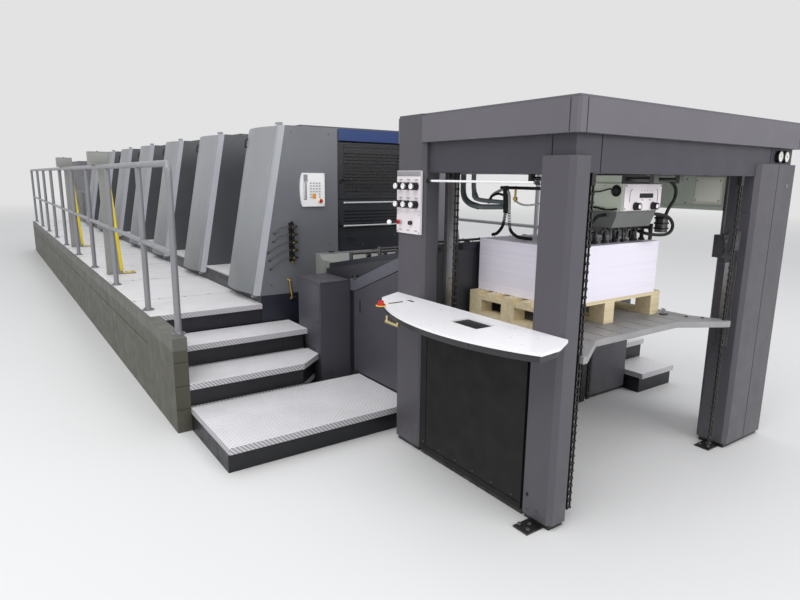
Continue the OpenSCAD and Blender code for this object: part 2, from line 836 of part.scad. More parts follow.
// Cover over the first transfer drum, its operator end cut back at an angle
module feed_drum_cover() {
    x = infeed_half_w + 14;
    top = guard_bottom_z;
    end_w = 130;
    color([0.48, 0.49, 0.47]) placed() difference() {
        along(-x, infeed_half_w, [[drum_y0, drum_z0], [infeed_y1, drum_z0], [infeed_y1, top],
            [drum_y0 + 84, top], [drum_y0, top - 75]]);
        upright(drum_z0 - join, top + join,
            [[-x - join, drum_y0 - join], [-x + end_w, drum_y0 - join], [-x - join, drum_y0 + 40]]);
    }
}

// Height of the infeed side's top edge, falling from the gantry and then level
bend_y = infeed_y0 + door_len - 5;

function side_points(y0, y1, drop) = [
    [y0, infeed_high_z - drop - (infeed_high_z - infeed_low_z) * (y0 - infeed_y0) / (bend_y - infeed_y0)],
    [bend_y, infeed_low_z - drop], [y1, infeed_low_z - drop]
];

module infeed_sides() {
    x0 = -infeed_half_w - sheet_t;
    y_end = infeed_y0 + door_len + 60;
    color([0.36, 0.36, 0.40]) placed() difference() {
        union() {
            along(x0, -infeed_half_w, concat(side_points(infeed_y0, y_end, 0),
                [[y_end, infeed_low_z - side_band_h], [bend_y, infeed_low_z - side_band_h],
                [infeed_y0, infeed_high_z - side_band_h]]));
            block([x0, infeed_y0 + door_len + cover_gap, plinth_h],
                [-infeed_half_w, infeed_y1, infeed_low_z - side_band_h]);
            block([x0, infeed_y0, door_bottom_z - 40],
                [-infeed_half_w, infeed_y0 + 40, door_bottom_z - 2 * cover_gap]);
        }
        door_pin(door_pin_r + seat, 2);
    }
}

// The door turns on a pin in the rounded edge next to the gantry
door_bottom_z = riser_h + 12;
door_pin_x = -infeed_half_w - sheet_t / 2;
door_pin_y = infeed_y0 + 8 + sheet_t / 2;
door_pin_r = 6;

module door_pin(r, reach) {
    bar_z(door_bottom_z - 30 - reach, infeed_high_z - side_band_h + reach, door_pin_x, door_pin_y, r);
}

module drive_housing() {
    color([0.33, 0.33, 0.34]) placed()
        along(infeed_half_w, gantry_right_x,
            [[infeed_y0, 0], [infeed_y1, 0], [infeed_y1, infeed_low_z + 60], [infeed_y0 + 500, infeed_low_z + 60],
            [infeed_y0, infeed_high_z]]);
}

module side_door() {
    x0 = -infeed_half_w - sheet_t;
    y1 = infeed_y0 + door_len;
    flat_y = door_pin_y + 3 * sheet_t;
    drop = side_band_h + cover_gap;
    top = side_points(flat_y, y1, drop);
    color([0.24, 0.24, 0.27]) placed() {
        along(x0, -infeed_half_w - seat,
            concat([[y1, door_bottom_z], [door_pin_y, door_bottom_z], [door_pin_y, top[0][1]]], top));
        bar_z(door_bottom_z, top[0][1], door_pin_x, door_pin_y, sheet_t / 2 - seat);
        door_pin(door_pin_r, 0);
    }
}

module operator_cabinet() {
    x0 = -830;
    y0 = infeed_y0 + door_len + 65;
    color([0.30, 0.29, 0.32]) placed()
        block([x0, y0, plinth_h], [-infeed_half_w - sheet_t, y0 + cabinet_len, cabinet_top_z]);
}

// Printing units

function unit_y(i) = unit_1_y + i * unit_pitch;

function unit_profile(inset) = [
    [-unit_foot_x + inset, cover_bottom_z], [-unit_roof_x + inset, unit_top_z],
    [unit_roof_x - inset, unit_top_z], [unit_foot_x - inset, cover_bottom_z]
];

strip_bevel = 34;

module tower(i) {
    y = unit_y(i);
    hatch_h = 28;
    rise = (unit_top_z - cover_bottom_z) / cos(cover_lean);
    difference() {
        union() {
            across(y, y + corner_strip_w, unit_profile(0));
            across(y, y + unit_len, unit_profile(cover_inset));
            block([-unit_roof_x + 260, y + 200, unit_top_z], [unit_roof_x - 260, y + unit_len - 110, unit_top_z + hatch_h]);
        }
        block([-guard_half_w, y - join, guard_bottom_z], [guard_half_w, y + guard_recess, unit_top_z + join]);
        both_sides() translate([-unit_foot_x, y, cover_bottom_z]) rotate([0, cover_lean, 0])
            translate([0, 0, -rise]) linear_extrude(3 * rise)
                polygon([[-join, -join], [strip_bevel, -join], [-join, strip_bevel]]);
    }
}

module towers() {
    color([0.36, 0.36, 0.38]) placed() for (i = [0:unit_count - 1]) tower(i);
}

// The drive side carries fixed covers of the same outline
module drive_covers() {
    color([0.65, 0.67, 0.68]) placed() mirror([1, 0, 0])
        for (i = [0:unit_count - 1]) intersection() {
            on_hinge_line(i) translate([-cover_edge_t / 2, -cover_edge_t / 2, -2 * cover_edge_t])
                cube([cover_edge_t + cover_gap - seat, cover_w, cover_rise + 4 * cover_edge_t]);
            block([-2 * unit_foot_x, 0, cover_bottom_z], [0, rear_end, unit_top_z]);
            cover_outline(i);
        }
}

// Places children on the hinge line of one unit's cover, with Z up along the leaning line
module on_hinge_line(i) {
    translate([-unit_foot_x, unit_y(i) + corner_strip_w + cover_gap, cover_bottom_z])
        rotate([0, cover_lean, 0]) translate([cover_edge_t / 2, cover_edge_t / 2, 0]) children();
}

// A cover round its hinge line: width along Y, outer face towards low X
module cover_shape() {
    half_t = cover_edge_t / 2;
    pocket = cover_edge_t - cover_wall;
    rim = 44;
    run = 300;
    difference() {
        translate([0, 0, -run]) linear_extrude(cover_rise + 2 * run) union() {
            circle(r = half_t);
            translate([-half_t, 0]) square([cover_edge_t, cover_w - half_t]);
            intersection() {
                translate([crown_r - cover_crown - half_t, cover_fold + crown_w / 2 - half_t])
                    circle(r = crown_r, $fn = arc_fn);
                translate([-half_t - cover_crown - join, 0])
                    square([cover_crown + 2 * join, cover_w - half_t]);
            }
        }
        translate([half_t - pocket, rim, rim])
            cube([pocket + join, cover_w - half_t - 2 * rim, cover_rise - 2 * rim]);
    }
}

// Side view of a cover with its top far corner rounded
module cover_outline(i) {
    y1 = unit_y(i) + unit_len + join;
    r = 70;
    translate([-2 * unit_foot_x, 0, 0]) rotate([90, 0, 90]) linear_extrude(2 * unit_foot_x) union() {
        translate([0, cover_bottom_z]) square([y1, unit_top_z - r - cover_bottom_z]);
        translate([0, unit_top_z - r]) square([y1 - r, r]);
        translate([y1 - r, unit_top_z - r]) circle(r = r);
    }
}

module cover(i) {
    color([0.65, 0.67, 0.68]) placed() {
        intersection() {
            on_hinge_line(i) cover_shape();
            block([-2 * unit_foot_x, 0, cover_bottom_z], [0, rear_end, unit_top_z]);
            cover_outline(i);
        }
        on_hinge_line(i)
            translate([0, 0, -cover_pin_reach]) cylinder(h = cover_rise + 2 * cover_pin_reach, r = cover_pin_r);
    }
}

// Lugs that hold the cover's pin: one on the base, one on the roof beside the corner strip
module cover_lugs(i) {
    lug_r = cover_edge_t / 2;
    lug_t = 14;
    pin_y = unit_y(i) + corner_strip_w + cover_gap + lug_r;
    low_z = cover_bottom_z - cover_lug_gap;
    high_z = unit_top_z + cover_lug_gap;
    difference() {
        union() {
            block([-unit_foot_x, pin_y - lug_r, low_z - lug_t], [-deck_inner_x, pin_y + lug_r, low_z]);
            block([-unit_roof_x, pin_y - 3 * lug_r, unit_top_z], [-unit_roof_x + 2 * lug_r, pin_y - lug_r - cover_gap, high_z]);
            block([-unit_roof_x, pin_y - 3 * lug_r, high_z], [-unit_roof_x + 2 * lug_r, pin_y + lug_r, high_z + lug_t]);
        }
        on_hinge_line(i) translate([0, 0, -4 * cover_pin_reach])
            cylinder(h = cover_rise + 8 * cover_pin_reach, r = cover_pin_r + seat);
    }
}

module cover_hinge_lugs() {
    color([0.12, 0.12, 0.13]) placed() for (i = [0:unit_count - 1]) cover_lugs(i);
}

module press_base() {
    color([0.13, 0.13, 0.15]) placed()
        block([-deck_inner_x, unit_1_y, 0], [deck_inner_x, delivery_y, cover_bottom_z]);
}

module unit_bridges() {
    x = unit_roof_x - 120;
    color([0.22, 0.22, 0.25]) placed()
        for (i = [0:unit_count - 1])
            block([-x, unit_y(i) + unit_len, cover_bottom_z], [x, unit_y(i + 1), bridge_top_z]);
}

module bridge_treads() {
    x0 = unit_roof_x - 120;
    color([0.70, 0.70, 0.70]) placed() both_sides()
        for (i = [0:unit_count - 1])
            block([x0, unit_y(i) + unit_len, cover_bottom_z], [deck_inner_x, unit_y(i + 1), tread_z]);
}

guard_face_y = guard_recess - guard_t - 8;
guard_rod_r = 6;
guard_top_z = guard_strip_z - cover_gap;

// Slatted guard with a rounded top edge bored for its hinge rod
module guard_panel(y, z0, z1) {
    x = guard_half_w - cover_gap;
    half_t = guard_t / 2;
    frame_w = 54;
    count = floor((z1 - z0 - 2 * frame_w) / slat_pitch);
    translate([0, y + guard_face_y, 0]) difference() {
        union() {
            block([-x, 0, z0], [x, guard_t, z1 - half_t]);
            bar_x(-x, x, half_t, z1 - half_t, half_t);
        }
        for (k = [0:count - 1])
            block([-x + frame_w, -join, z0 + frame_w + k * slat_pitch],
                [x - frame_w, guard_t * 0.6, z0 + frame_w + (k + 1) * slat_pitch - slat_h]);
        bar_x(-x - join, x + join, half_t, z1 - half_t, guard_rod_r + seat);
    }
}

module unit_guards() {
    z0 = bridge_top_z;
    z1 = unit_top_z - 4;
    pitch = 3 * slat_pitch;
    count = floor((z1 - z0 - 2 * pitch) / pitch);
    color([0.20, 0.20, 0.24]) placed()
        for (i = [1:unit_count - 1]) translate([0, unit_y(i) + guard_recess, 0]) difference() {
            block([-guard_half_w, -guard_t, z0], [guard_half_w, 0, z1]);
            for (k = [1:count])
                block([-guard_half_w + pitch, -guard_t - join, z0 + k * pitch],
                    [guard_half_w - pitch, -guard_t / 2, z0 + (k + 1) * pitch - slat_h]);
        }
}

module front_guard() {
    color([0.20, 0.20, 0.24]) placed() guard_panel(unit_1_y, guard_split_z, guard_top_z);
}

module front_guard_field() {
    color([0.18, 0.30, 0.53]) placed()
        block([-guard_half_w, unit_1_y + 14, guard_strip_z], [guard_half_w, unit_1_y + guard_recess, unit_top_z]);
    color([0.20, 0.20, 0.24]) placed() {
        bar_x(-guard_half_w, guard_half_w, unit_1_y + guard_face_y + guard_t / 2, guard_top_z - guard_t / 2, guard_rod_r);
        field_y = unit_1_y + 20;
        vent_z = guard_bottom_z + 185;
        vent_n = floor((guard_split_z - 70 - vent_z) / slat_pitch);
        difference() {
            block([-guard_half_w, field_y, guard_bottom_z],
                [guard_half_w, unit_1_y + guard_recess, guard_split_z - cover_gap]);
            for (k = [0:vent_n - 1])
                block([-guard_half_w + 60, field_y - join, vent_z + k * slat_pitch],
                    [guard_half_w - 60, field_y + 16, vent_z + (k + 1) * slat_pitch - slat_h]);
            block([-guard_half_w - join, field_y - join, vent_z - 18], [guard_half_w + join, field_y + seam_depth, vent_z - 12]);
        }
        for (z = [guard_split_z - 30, vent_z + 30]) {
            bar_x(-guard_half_w + 60, guard_half_w - 60, field_y - 12, z, 7);
            both_sides() block([guard_half_w - 66, field_y - 14, z - 8], [guard_half_w - 54, field_y + join, z + 8]);
        }
    }
}

module unit_control_panel() {
    panel_h = 265;
    x0 = -696;
    x1 = -480;
    z0 = 1375;
    r = 520;
    y0 = unit_1_y - 18;
    color([0.90, 0.88, 0.90]) placed() difference() {
        intersection() {
            block([x0, y0, z0], [x1, unit_1_y, z0 + panel_h]);
            bar_y(y0 - join, unit_1_y + join, x0 + r, z0 + panel_h / 2, r);
        }
        block([x0 + 28, y0 - join, z0 + panel_h - 70], [x0 + 66, y0 + 3, z0 + panel_h - 12]);
    }
    color([0.90, 0.88, 0.90]) placed() bar_y(y0 - 14, y0, x1 - 42, z0 + 44, 15);
}

// Stack of air valves with a nut on each, on the feeder side of the first unit
module air_valve_block() {
    valves = 5;
    pitch = 62;
    z0 = 940;
    x = -780;
    color([0.10, 0.10, 0.10]) placed() {
        block([x - 20, unit_1_y - 12, z0], [x + 20, unit_1_y, z0 + valves * pitch]);
        for (k = [0:valves - 1]) {
            z = z0 + (k + 0.5) * pitch;
            block([x - 16, unit_1_y - 34, z - 22], [x + 16, unit_1_y - 11, z + 22]);
            bar_y(unit_1_y - 46, unit_1_y - 33, x, z, 10);
            bar_x(x + 15, x + 42, unit_1_y - 22, z, 7);
        }
    }
}

// Gallery

module gallery_decks() {
    x0 = gallery_x - skirt_t;
    color([0.78, 0.77, 0.80]) placed() {
        block([-x0, gallery_y, deck_z - deck_t], [-deck_inner_x, gallery_end, deck_z]);
        block([deck_inner_x, unit_1_y, deck_z - deck_t], [x0, gallery_end, deck_z]);
        block([gantry_right_x, drive_deck_y, deck_z - deck_t], [x0, unit_1_y + join, deck_z]);
    }
}

module gallery_skirts() {
    inner = gallery_x - curb_w;
    band_z = deck_z - skirt_band_h;
    color([0.41, 0.41, 0.35]) placed() {
        both_sides() {
            difference() {
                block([-gallery_x, gallery_y, 0], [-gallery_x + skirt_t, gallery_end, deck_z]);
                for (i = [1:unit_count])
                    block([-gallery_x - join, gallery_y + i * unit_pitch, plinth_h],
                        [-gallery_x + seam_depth, gallery_y + i * unit_pitch + seam_w, band_z]);
                block([-gallery_x - join, gallery_y - join, band_z - seam_w],
                    [-gallery_x + seam_depth, gallery_end + join, band_z]);
            }
            block([-gallery_x, gallery_end - skirt_t, 0], [-deck_inner_x, gallery_end, deck_z - deck_t]);
        }
        difference() {
            block([-gallery_x, skirt_y, 0], [-inner, gallery_y, deck_z]);
            for (k = [1:3])
                block([-gallery_x - join, skirt_y - join, k * riser_h - seam_w],
                    [-inner + join, skirt_y + seam_depth, k * riser_h]);
        }
        block([-gallery_x + skirt_t, gallery_y + riser_set_back, 0],
            [-deck_inner_x, gallery_y + riser_set_back + skirt_t, deck_z - deck_t]);
        block([gallery_x - skirt_t, drive_deck_y, 0], [gallery_x, gallery_y, deck_z]);
        block([gantry_right_x, drive_deck_y + riser_set_back, 0],
            [gallery_x - skirt_t, drive_deck_y + riser_set_back + skirt_t, deck_z - deck_t]);
    }
}

// One step: a nosed checker plate over a set back box
module step(points, inset_points, h) {
    upright(h - deck_t, h, points);
    upright(0, h - deck_t, inset_points);
}

module operator_steps() {
    x0 = -gallery_x + curb_w;
    x_low = -infeed_half_w - sheet_t;
    x_mid = x_low - 450;
    x_top = -830;
    y1 = low_step_y;
    y2 = y1 + low_step_depth;
    y3 = gallery_y - step_depth;
    s = riser_set_back;
    color([0.78, 0.77, 0.80]) placed() {
        step([[x0, y1], [x_low, y1], [x_low, y2], [x0, y2]],
            [[x0, y1 + s], [x_low, y1 + s], [x_low, y2], [x0, y2]], riser_h);
        step([[x0, y2], [x_mid, y2], [x_top, y2 + 170], [x_top, y3], [x0, y3]],
            [[x0, y2 + s], [x_mid, y2 + s], [x_top - s, y2 + 170 + s], [x_top - s, y3], [x0, y3]], 2 * riser_h);
        step([[x0, y3], [x_top, y3], [x_top, gallery_y], [x0, gallery_y]],
            [[x0, y3 + s], [x_top - s, y3 + s], [x_top - s, unit_1_y], [x0, unit_1_y]], 3 * riser_h);
    }
}

module drive_steps() {
    x0 = gantry_right_x;
    x1 = gallery_x - 270;
    depth = 280;
    s = riser_set_back;
    color([0.78, 0.77, 0.80]) placed()
        for (i = [1:3]) {
            y0 = drive_deck_y - (4 - i) * depth;
            y1 = y0 + depth;
            step([[x0, y0], [x1, y0], [x1, y1], [x0, y1]],
                [[x0, y0 + s], [x1, y0 + s], [x1, y1 + (i == 3 ? s : 0)], [x0, y1 + (i == 3 ? s : 0)]], i * riser_h);
        }
}

rail_bend_r = 45;

// Rail of separate tubes: each post stops at the top rail and the middle rail runs between posts
module handrail_shape(y0) {
    y1 = gallery_end - 60;
    top = deck_z + rail_h;
    bend_y = y0 + rail_bend_r;
    last_y = y1 - 2 * rail_r;
    posts = concat([for (y = y0 + first_post_gap; y < last_y - post_pitch / 4; y = y + post_pitch) y], [last_y]);
    bar_y(bend_y + seat, y1, -post_x, top, rail_r);
    translate([-post_x, bend_y, top - rail_bend_r]) rotate([90, 0, -90])
        rotate_extrude(angle = 90) translate([rail_bend_r, 0]) circle(r = rail_r);
    bar_z(deck_z, top - rail_bend_r, -post_x, y0, rail_r);
    for (y = concat([y0], posts)) bar_z(deck_z, deck_z + 8, -post_x, y, 2 * rail_r);
    difference() {
        for (y = posts) bar_z(deck_z, top, -post_x, y, rail_r);
        bar_y(y0, y1 + join, -post_x, top, rail_r + seat);
    }
    difference() {
        bar_y(y0, last_y, -post_x, deck_z + mid_rail_h, rail_r - 3);
        for (y = concat([y0], posts)) bar_z(deck_z, top, -post_x, y, rail_r + seat);
    }
}

module operator_handrail() {
    color([0.51, 0.51, 0.52]) placed() handrail_shape(first_post_y);
}

module drive_handrail() {
    color([0.51, 0.51, 0.52]) placed() mirror([1, 0, 0]) handrail_shape(drive_deck_y + 60);
}

module gallery_screens() {
    foot_reach = 115;
    set_back = 650;
    x0 = -post_x + rail_r + 5;
    x_top = x0 + 85;
    x_foot = x0 + 150;
    box_z = deck_z + rail_h + rail_r + seat;
    color([0.45, 0.45, 0.44]) placed()
        for (y = [unit_y(2) - set_back, unit_y(4) - set_back]) {
            across(y - 15, y + 15, [[x0, deck_z], [x_foot, deck_z], [x_top, box_z + join], [x0, box_z + join]]);
            block([x0, y - 40, deck_z], [x_foot + foot_reach, y + 40, deck_z + 12]);
            block([x0 - 80, y - 60, box_z], [x_top + 15, y + 60, box_z + screen_box_h]);
        }
}

// Delivery

module delivery_housing() {
    bay_y = rear_end - bay_len;
    color([0.30, 0.30, 0.32]) placed() difference() {
        union() {
            block([-delivery_half_w, delivery_y, plinth_h], [delivery_half_w, rear_end, delivery_low_z]);
            block([-delivery_half_w + 40, delivery_y, 0], [delivery_half_w - 40, rear_end - 40, plinth_h]);
        }
        block([-bay_half_w, bay_y, -join], [bay_half_w, rear_end + join, bay_top_z]);
        both_sides() for (y = [delivery_y + 700, bay_y])
            block([delivery_half_w - seam_depth, y, plinth_h - join], [delivery_half_w + join, y + seam_w, delivery_low_z + join]);
    }
}

module delivery_hood() {
    r = 320;
    slope_len = 1100;
    color([0.42, 0.41, 0.44]) placed() difference() {
        union() {
            along(-delivery_half_w, delivery_half_w, [[delivery_y, delivery_low_z], [rear_end, delivery_low_z],
                [rear_end, delivery_hood_z - r], [rear_end - r, delivery_hood_z],
                [delivery_y + slope_len, delivery_hood_z]]);
            bar_x(-delivery_half_w, delivery_half_w, rear_end - r, delivery_hood_z - r, r);
        }
        both_sides() block([delivery_half_w - seam_depth, delivery_y + slope_len, delivery_low_z - join],
            [delivery_half_w + join, delivery_y + slope_len + seam_w, delivery_hood_z + join]);
    }
}

feeder_head_cover();
feeder_header();
pillar_front_left();
pillar_rear_left();
pillar_front_right();
pillar_rear_right();
plinths();
desk_side_panel();
console_desk();
desk_controls();
feeder_control_panel();
control_knobs();
pressure_gauges();
lift_chains();
chain_guides();
light_bar();
head_carrier();
drive_inner_panel();
suction_head();
head_control_face();
suckers();
head_hoses();
pile_platform();
pallet();
paper_pile();
infeed_frame();
feed_table();
feed_drum_cover();
infeed_sides();
drive_housing();
side_door();
operator_cabinet();
press_base();
towers();
cover_hinge_lugs();
drive_covers();
unit_bridges();
bridge_treads();
unit_guards();
front_guard();
front_guard_field();
unit_control_panel();
air_valve_block();
cover(0);  // cover_1
cover(1);  // cover_2
cover(2);  // cover_3
cover(3);  // cover_4
cover(4);  // cover_5
cover(5);  // cover_6
cover(6);  // cover_7
gallery_decks();
gallery_skirts();
operator_steps();
drive_steps();
operator_handrail();
drive_handrail();
gallery_screens();
delivery_housing();
delivery_hood();
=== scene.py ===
"""Looks of a sheet-fed offset printing press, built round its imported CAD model.

Sizes in the piece code are millimetres on the press's own axes: Y from the gantry's front face
towards the delivery, X from the operator side to the drive side, Z up from the floor.
"""
import math

import bmesh
import bpy
from bpy.props import FloatProperty, FloatVectorProperty, PointerProperty
from mathutils import Matrix, Vector


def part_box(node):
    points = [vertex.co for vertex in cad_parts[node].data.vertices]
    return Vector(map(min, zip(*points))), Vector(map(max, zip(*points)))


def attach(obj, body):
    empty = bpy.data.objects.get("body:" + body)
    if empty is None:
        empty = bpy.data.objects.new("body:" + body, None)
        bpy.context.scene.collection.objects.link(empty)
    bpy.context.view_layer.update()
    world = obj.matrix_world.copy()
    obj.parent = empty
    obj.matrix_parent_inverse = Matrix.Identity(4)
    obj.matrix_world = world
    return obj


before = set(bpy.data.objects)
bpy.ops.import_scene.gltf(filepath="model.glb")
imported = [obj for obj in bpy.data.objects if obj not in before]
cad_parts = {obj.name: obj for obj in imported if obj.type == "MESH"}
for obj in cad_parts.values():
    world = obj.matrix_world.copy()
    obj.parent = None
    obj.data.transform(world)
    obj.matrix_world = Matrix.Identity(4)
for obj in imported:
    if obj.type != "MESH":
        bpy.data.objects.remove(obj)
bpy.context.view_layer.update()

bl_info = {
    "name": "Offset press looks",
    "version": (1, 0, 0),
    "blender": (4, 5, 0),
    "location": "3D View > Sidebar > Press",
    "description": "Finishes and trim of a sheet-fed offset press with a pile feeder",
    "category": "Object",
}

FRONT_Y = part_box("feeder_head_cover")[0][1]
UNITS = 7
UNIT_PITCH = 1390.0
UNIT_LEN = 670
UNIT_Y = [2800.0 + UNIT_PITCH * i for i in range(UNITS)]

# Heights at which a node changes its finish or carries trim
CASE_Z = 1457.0
CASE_TOP_Z = 1594.0
BAR_Z = 1372.0
DESK_Z = 941.0
GUARD_STRIP_Z = 1905.0
DECK_Z = 620

SIDES = (-1, 1)
UP, DOWN = (0, 0, 1), (0, 0, -1)
FORWARD, OPERATOR_WAY = (0, -1, 0), (-1, 0, 0)


def metres(point):
    """A point in millimetres on the press's axes, as metres in the shared frame."""
    return Vector((point[0] / 1000, point[1] / 1000 + FRONT_Y, point[2] / 1000))


def srgb(red, green, blue):
    """A colour as read off a screen, 0 to 255, in Blender's linear values."""
    return tuple(pow(c / 255, 2.2) for c in (red, green, blue)) + (1.0,)


def shaded(colour, factor, lift=0.0):
    """A colour made lighter or darker."""
    return tuple(min(1, c * factor + lift) for c in colour[:3]) + (1,)


# Finishes


FINISHES = {}
DUST = srgb(150, 146, 138)


class Finish:
    """One material's node tree, built from small steps on Object coordinates."""

    def __init__(self, name):
        self.name = name
        self.material = bpy.data.materials.new(name)
        self.material.use_nodes = True
        self.tree = self.material.node_tree
        self.shader = self.tree.nodes["Principled BSDF"]
        self.coords = self.node("ShaderNodeTexCoord").outputs["Object"]
        self.normal = None

    def node(self, kind, **settings):
        made = self.tree.nodes.new(kind)
        for key, value in settings.items():
            setattr(made, key, value)
        return made

    def put(self, socket, value):
        if isinstance(value, bpy.types.NodeSocket):
            self.tree.links.new(value, socket)
        else:
            socket.default_value = value

    def filled(self, made, *values):
        """The node with its first inputs set in order."""
        for socket, value in zip(made.inputs, values):
            self.put(socket, value)
        return made

    def maths(self, operation, *values):
        return self.filled(self.node("ShaderNodeMath", operation=operation), *values).outputs[0]

    def times(self, first, second):
        return self.maths("MULTIPLY", first, second)

    def vectors(self, operation, *values):
        made = self.filled(self.node("ShaderNodeVectorMath", operation=operation), *values)
        return made.outputs["Value" if operation in ("DOT_PRODUCT", "LENGTH") else "Vector"]

    def part(self, vector, axis):
        """A vector's X, Y or Z."""
        return self.filled(self.node("ShaderNodeSeparateXYZ"), vector).outputs[axis]

    def stretched(self, scale, shift=(0, 0, 0)):
        made = self.node("ShaderNodeMapping")
        self.put(made.inputs["Vector"], self.coords)
        made.inputs["Scale"].default_value = scale
        made.inputs["Location"].default_value = shift
        return made.outputs[0]

    def noise(self, scale, detail=3.0, vector=None, roughness=0.5):
        made = self.node("ShaderNodeTexNoise")
        self.put(made.inputs["Vector"], vector or self.coords)
        made.inputs["Scale"].default_value = scale
        made.inputs["Detail"].default_value = detail
        made.inputs["Roughness"].default_value = roughness
        return made.outputs["Fac"]

    def spread(self, value, low, high, out_low=0.0, out_high=1.0):
        made = self.node("ShaderNodeMapRange")
        keys = ("Value", "From Min", "From Max", "To Min", "To Max")
        for key, item in zip(keys, (value, low, high, out_low, out_high)):
            self.put(made.inputs[key], item)
        return made.outputs[0]

    def gloss(self, value, low, high):
        """Roughness that follows a noise."""
        return self.spread(value, 0.3, 0.7, low, high)

    def blend(self, amount, first, second):
        made = self.node("ShaderNodeMix", data_type="RGBA")
        self.put(made.inputs["Factor"], amount)
        self.put(made.inputs[6], first)
        self.put(made.inputs[7], second)
        return made.outputs[2]

    def inside(self, low, high):
        """1 inside a box given in millimetres on the press's axes, where None leaves a side open."""
        mask = None
        for axis in range(3):
            for bounds, operation in ((low, "GREATER_THAN"), (high, "LESS_THAN")):
                if bounds[axis] is None:
                    continue
                edge = bounds[axis] / 1000 + (FRONT_Y if axis == 1 else 0)
                test = self.maths(operation, self.part(self.coords, axis), edge)
                mask = test if mask is None else self.times(mask, test)
        return mask

    def facing(self, axis):
        """The face direction's part along X, Y or Z."""
        return self.part(self.node("ShaderNodeNewGeometry").outputs["Normal"], axis)

    def tones(self, colour, spread, scale=3.0):
        """The colour with slow patches of light and dark, and a finer grain over them."""
        patches = self.spread(self.noise(scale, 4), 0.3, 0.7)
        base = self.blend(patches, shaded(colour, 1 - spread), shaded(colour, 1 + spread))
        grain = self.spread(self.noise(scale * 30, 2), 0.35, 0.65)
        return self.blend(self.times(grain, 0.35), base, shaded(colour, 1 - spread * 0.8))

    def rounded_edges(self, radius):
        """Softens hard edges, and gives how near an edge a point is."""
        bevel = self.node("ShaderNodeBevel", samples=4)
        bevel.inputs["Radius"].default_value = radius
        self.normal = bevel.outputs[0]
        true_normal = self.node("ShaderNodeNewGeometry").outputs["Normal"]
        return self.spread(self.vectors("DOT_PRODUCT", self.normal, true_normal), 0.995, 0.85)

    def painted_areas(self, shade, areas, spread, scale=3.0):
        for low, high, other in areas:
            shade = self.blend(self.inside(low, high), shade, self.tones(other, spread, scale))
        return shade

    def dust(self, colour, shade, amount):
        """Settled dust on upward faces and a scuffed band near the floor."""
        upward = self.spread(self.facing("Z"), 0.7, 1.0)
        low = self.spread(self.part(self.coords, "Z"), 0.22, 0.0)
        patches = self.spread(self.noise(14, 6, roughness=0.65), 0.35, 0.75)
        patchy = self.times(self.maths("MAXIMUM", upward, low), patches)
        return self.blend(self.times(patchy, amount), colour, shade)

    def bump(self, height, strength, distance):
        made = self.node("ShaderNodeBump")
        made.inputs["Strength"].default_value = strength
        made.inputs["Distance"].default_value = distance
        self.put(made.inputs["Height"], height)
        if self.normal:
            self.put(made.inputs["Normal"], self.normal)
        self.normal = made.outputs[0]

    def done(self, colour, roughness, metallic=0.0, **sockets):
        self.put(self.shader.inputs["Base Color"], colour)
        self.put(self.shader.inputs["Roughness"], roughness)
        self.put(self.shader.inputs["Metallic"], metallic)
        for key, value in sockets.items():
            self.shader.inputs[key.replace("_", " ")].default_value = value
        if self.normal:
            self.put(self.shader.inputs["Normal"], self.normal)
        FINISHES[self.name] = self.material


def area(colour, x0=None, x1=None, y0=None, y1=None, z0=None, z1=None):
    """A part of a node in its own colour, between limits in millimetres."""
    return (x0, y0, z0), (x1, y1, z1), colour


def sheet_paint(name, colour, roughness, peel, metallic=0.0, edge_wear_and_highlight=0.35, edge=0.0025, dusty=0.18,
                spread=0.05, areas=(), panels=None):
    """Stoved paint on sheet metal: faint orange peel, worn edges that also carry a painted edge highlight, dust on
    ledges, and other colours in areas.
    """
    finish = Finish(name)
    near_edge = finish.rounded_edges(edge)
    shade = panels(finish) if panels else finish.tones(colour, spread)
    # Lighter edges: partly worn paint, partly a painted highlight along the edges.
    worn_and_highlit_edges = finish.times(near_edge, finish.spread(finish.noise(60, 4), 0.45, 0.7))
    shade = finish.blend(finish.times(worn_and_highlit_edges, edge_wear_and_highlight), shade, shaded(colour, 1.5, 0.06))
    shade = finish.painted_areas(shade, areas, spread)
    shade = finish.dust(shade, DUST, dusty)
    finish.bump(finish.noise(420, 3), peel, 0.0006)
    finish.done(shade, finish.gloss(finish.noise(9, 5), roughness - 0.06, roughness + 0.08), metallic)


def tower_paint(name, colour, first, strip):
    """Dark paint on the units' faces, painted light on the first unit's front to make up for the gantry's shadow on it,
    silver on the strips beside the covers.
    """
    def panels(finish):
        outer = finish.maths("GREATER_THAN", finish.maths("ABSOLUTE", finish.part(finish.coords, "X")), 0.7)
        sideways = finish.maths("GREATER_THAN", finish.maths("ABSOLUTE", finish.facing("X")), 0.35)
        # Painted light: the first unit's front gets a lighter colour that stands in for light the gantry keeps off it.
        faces = finish.painted_areas(finish.tones(colour, 0.05), [area(first, y1=UNIT_Y[0] + 6)], 0.05)
        return finish.blend(finish.times(sideways, outer), faces, finish.tones(strip, 0.04))

    sheet_paint(name, colour, 0.42, 0.12, 0.05, edge_wear_and_highlight=0.3, panels=panels)


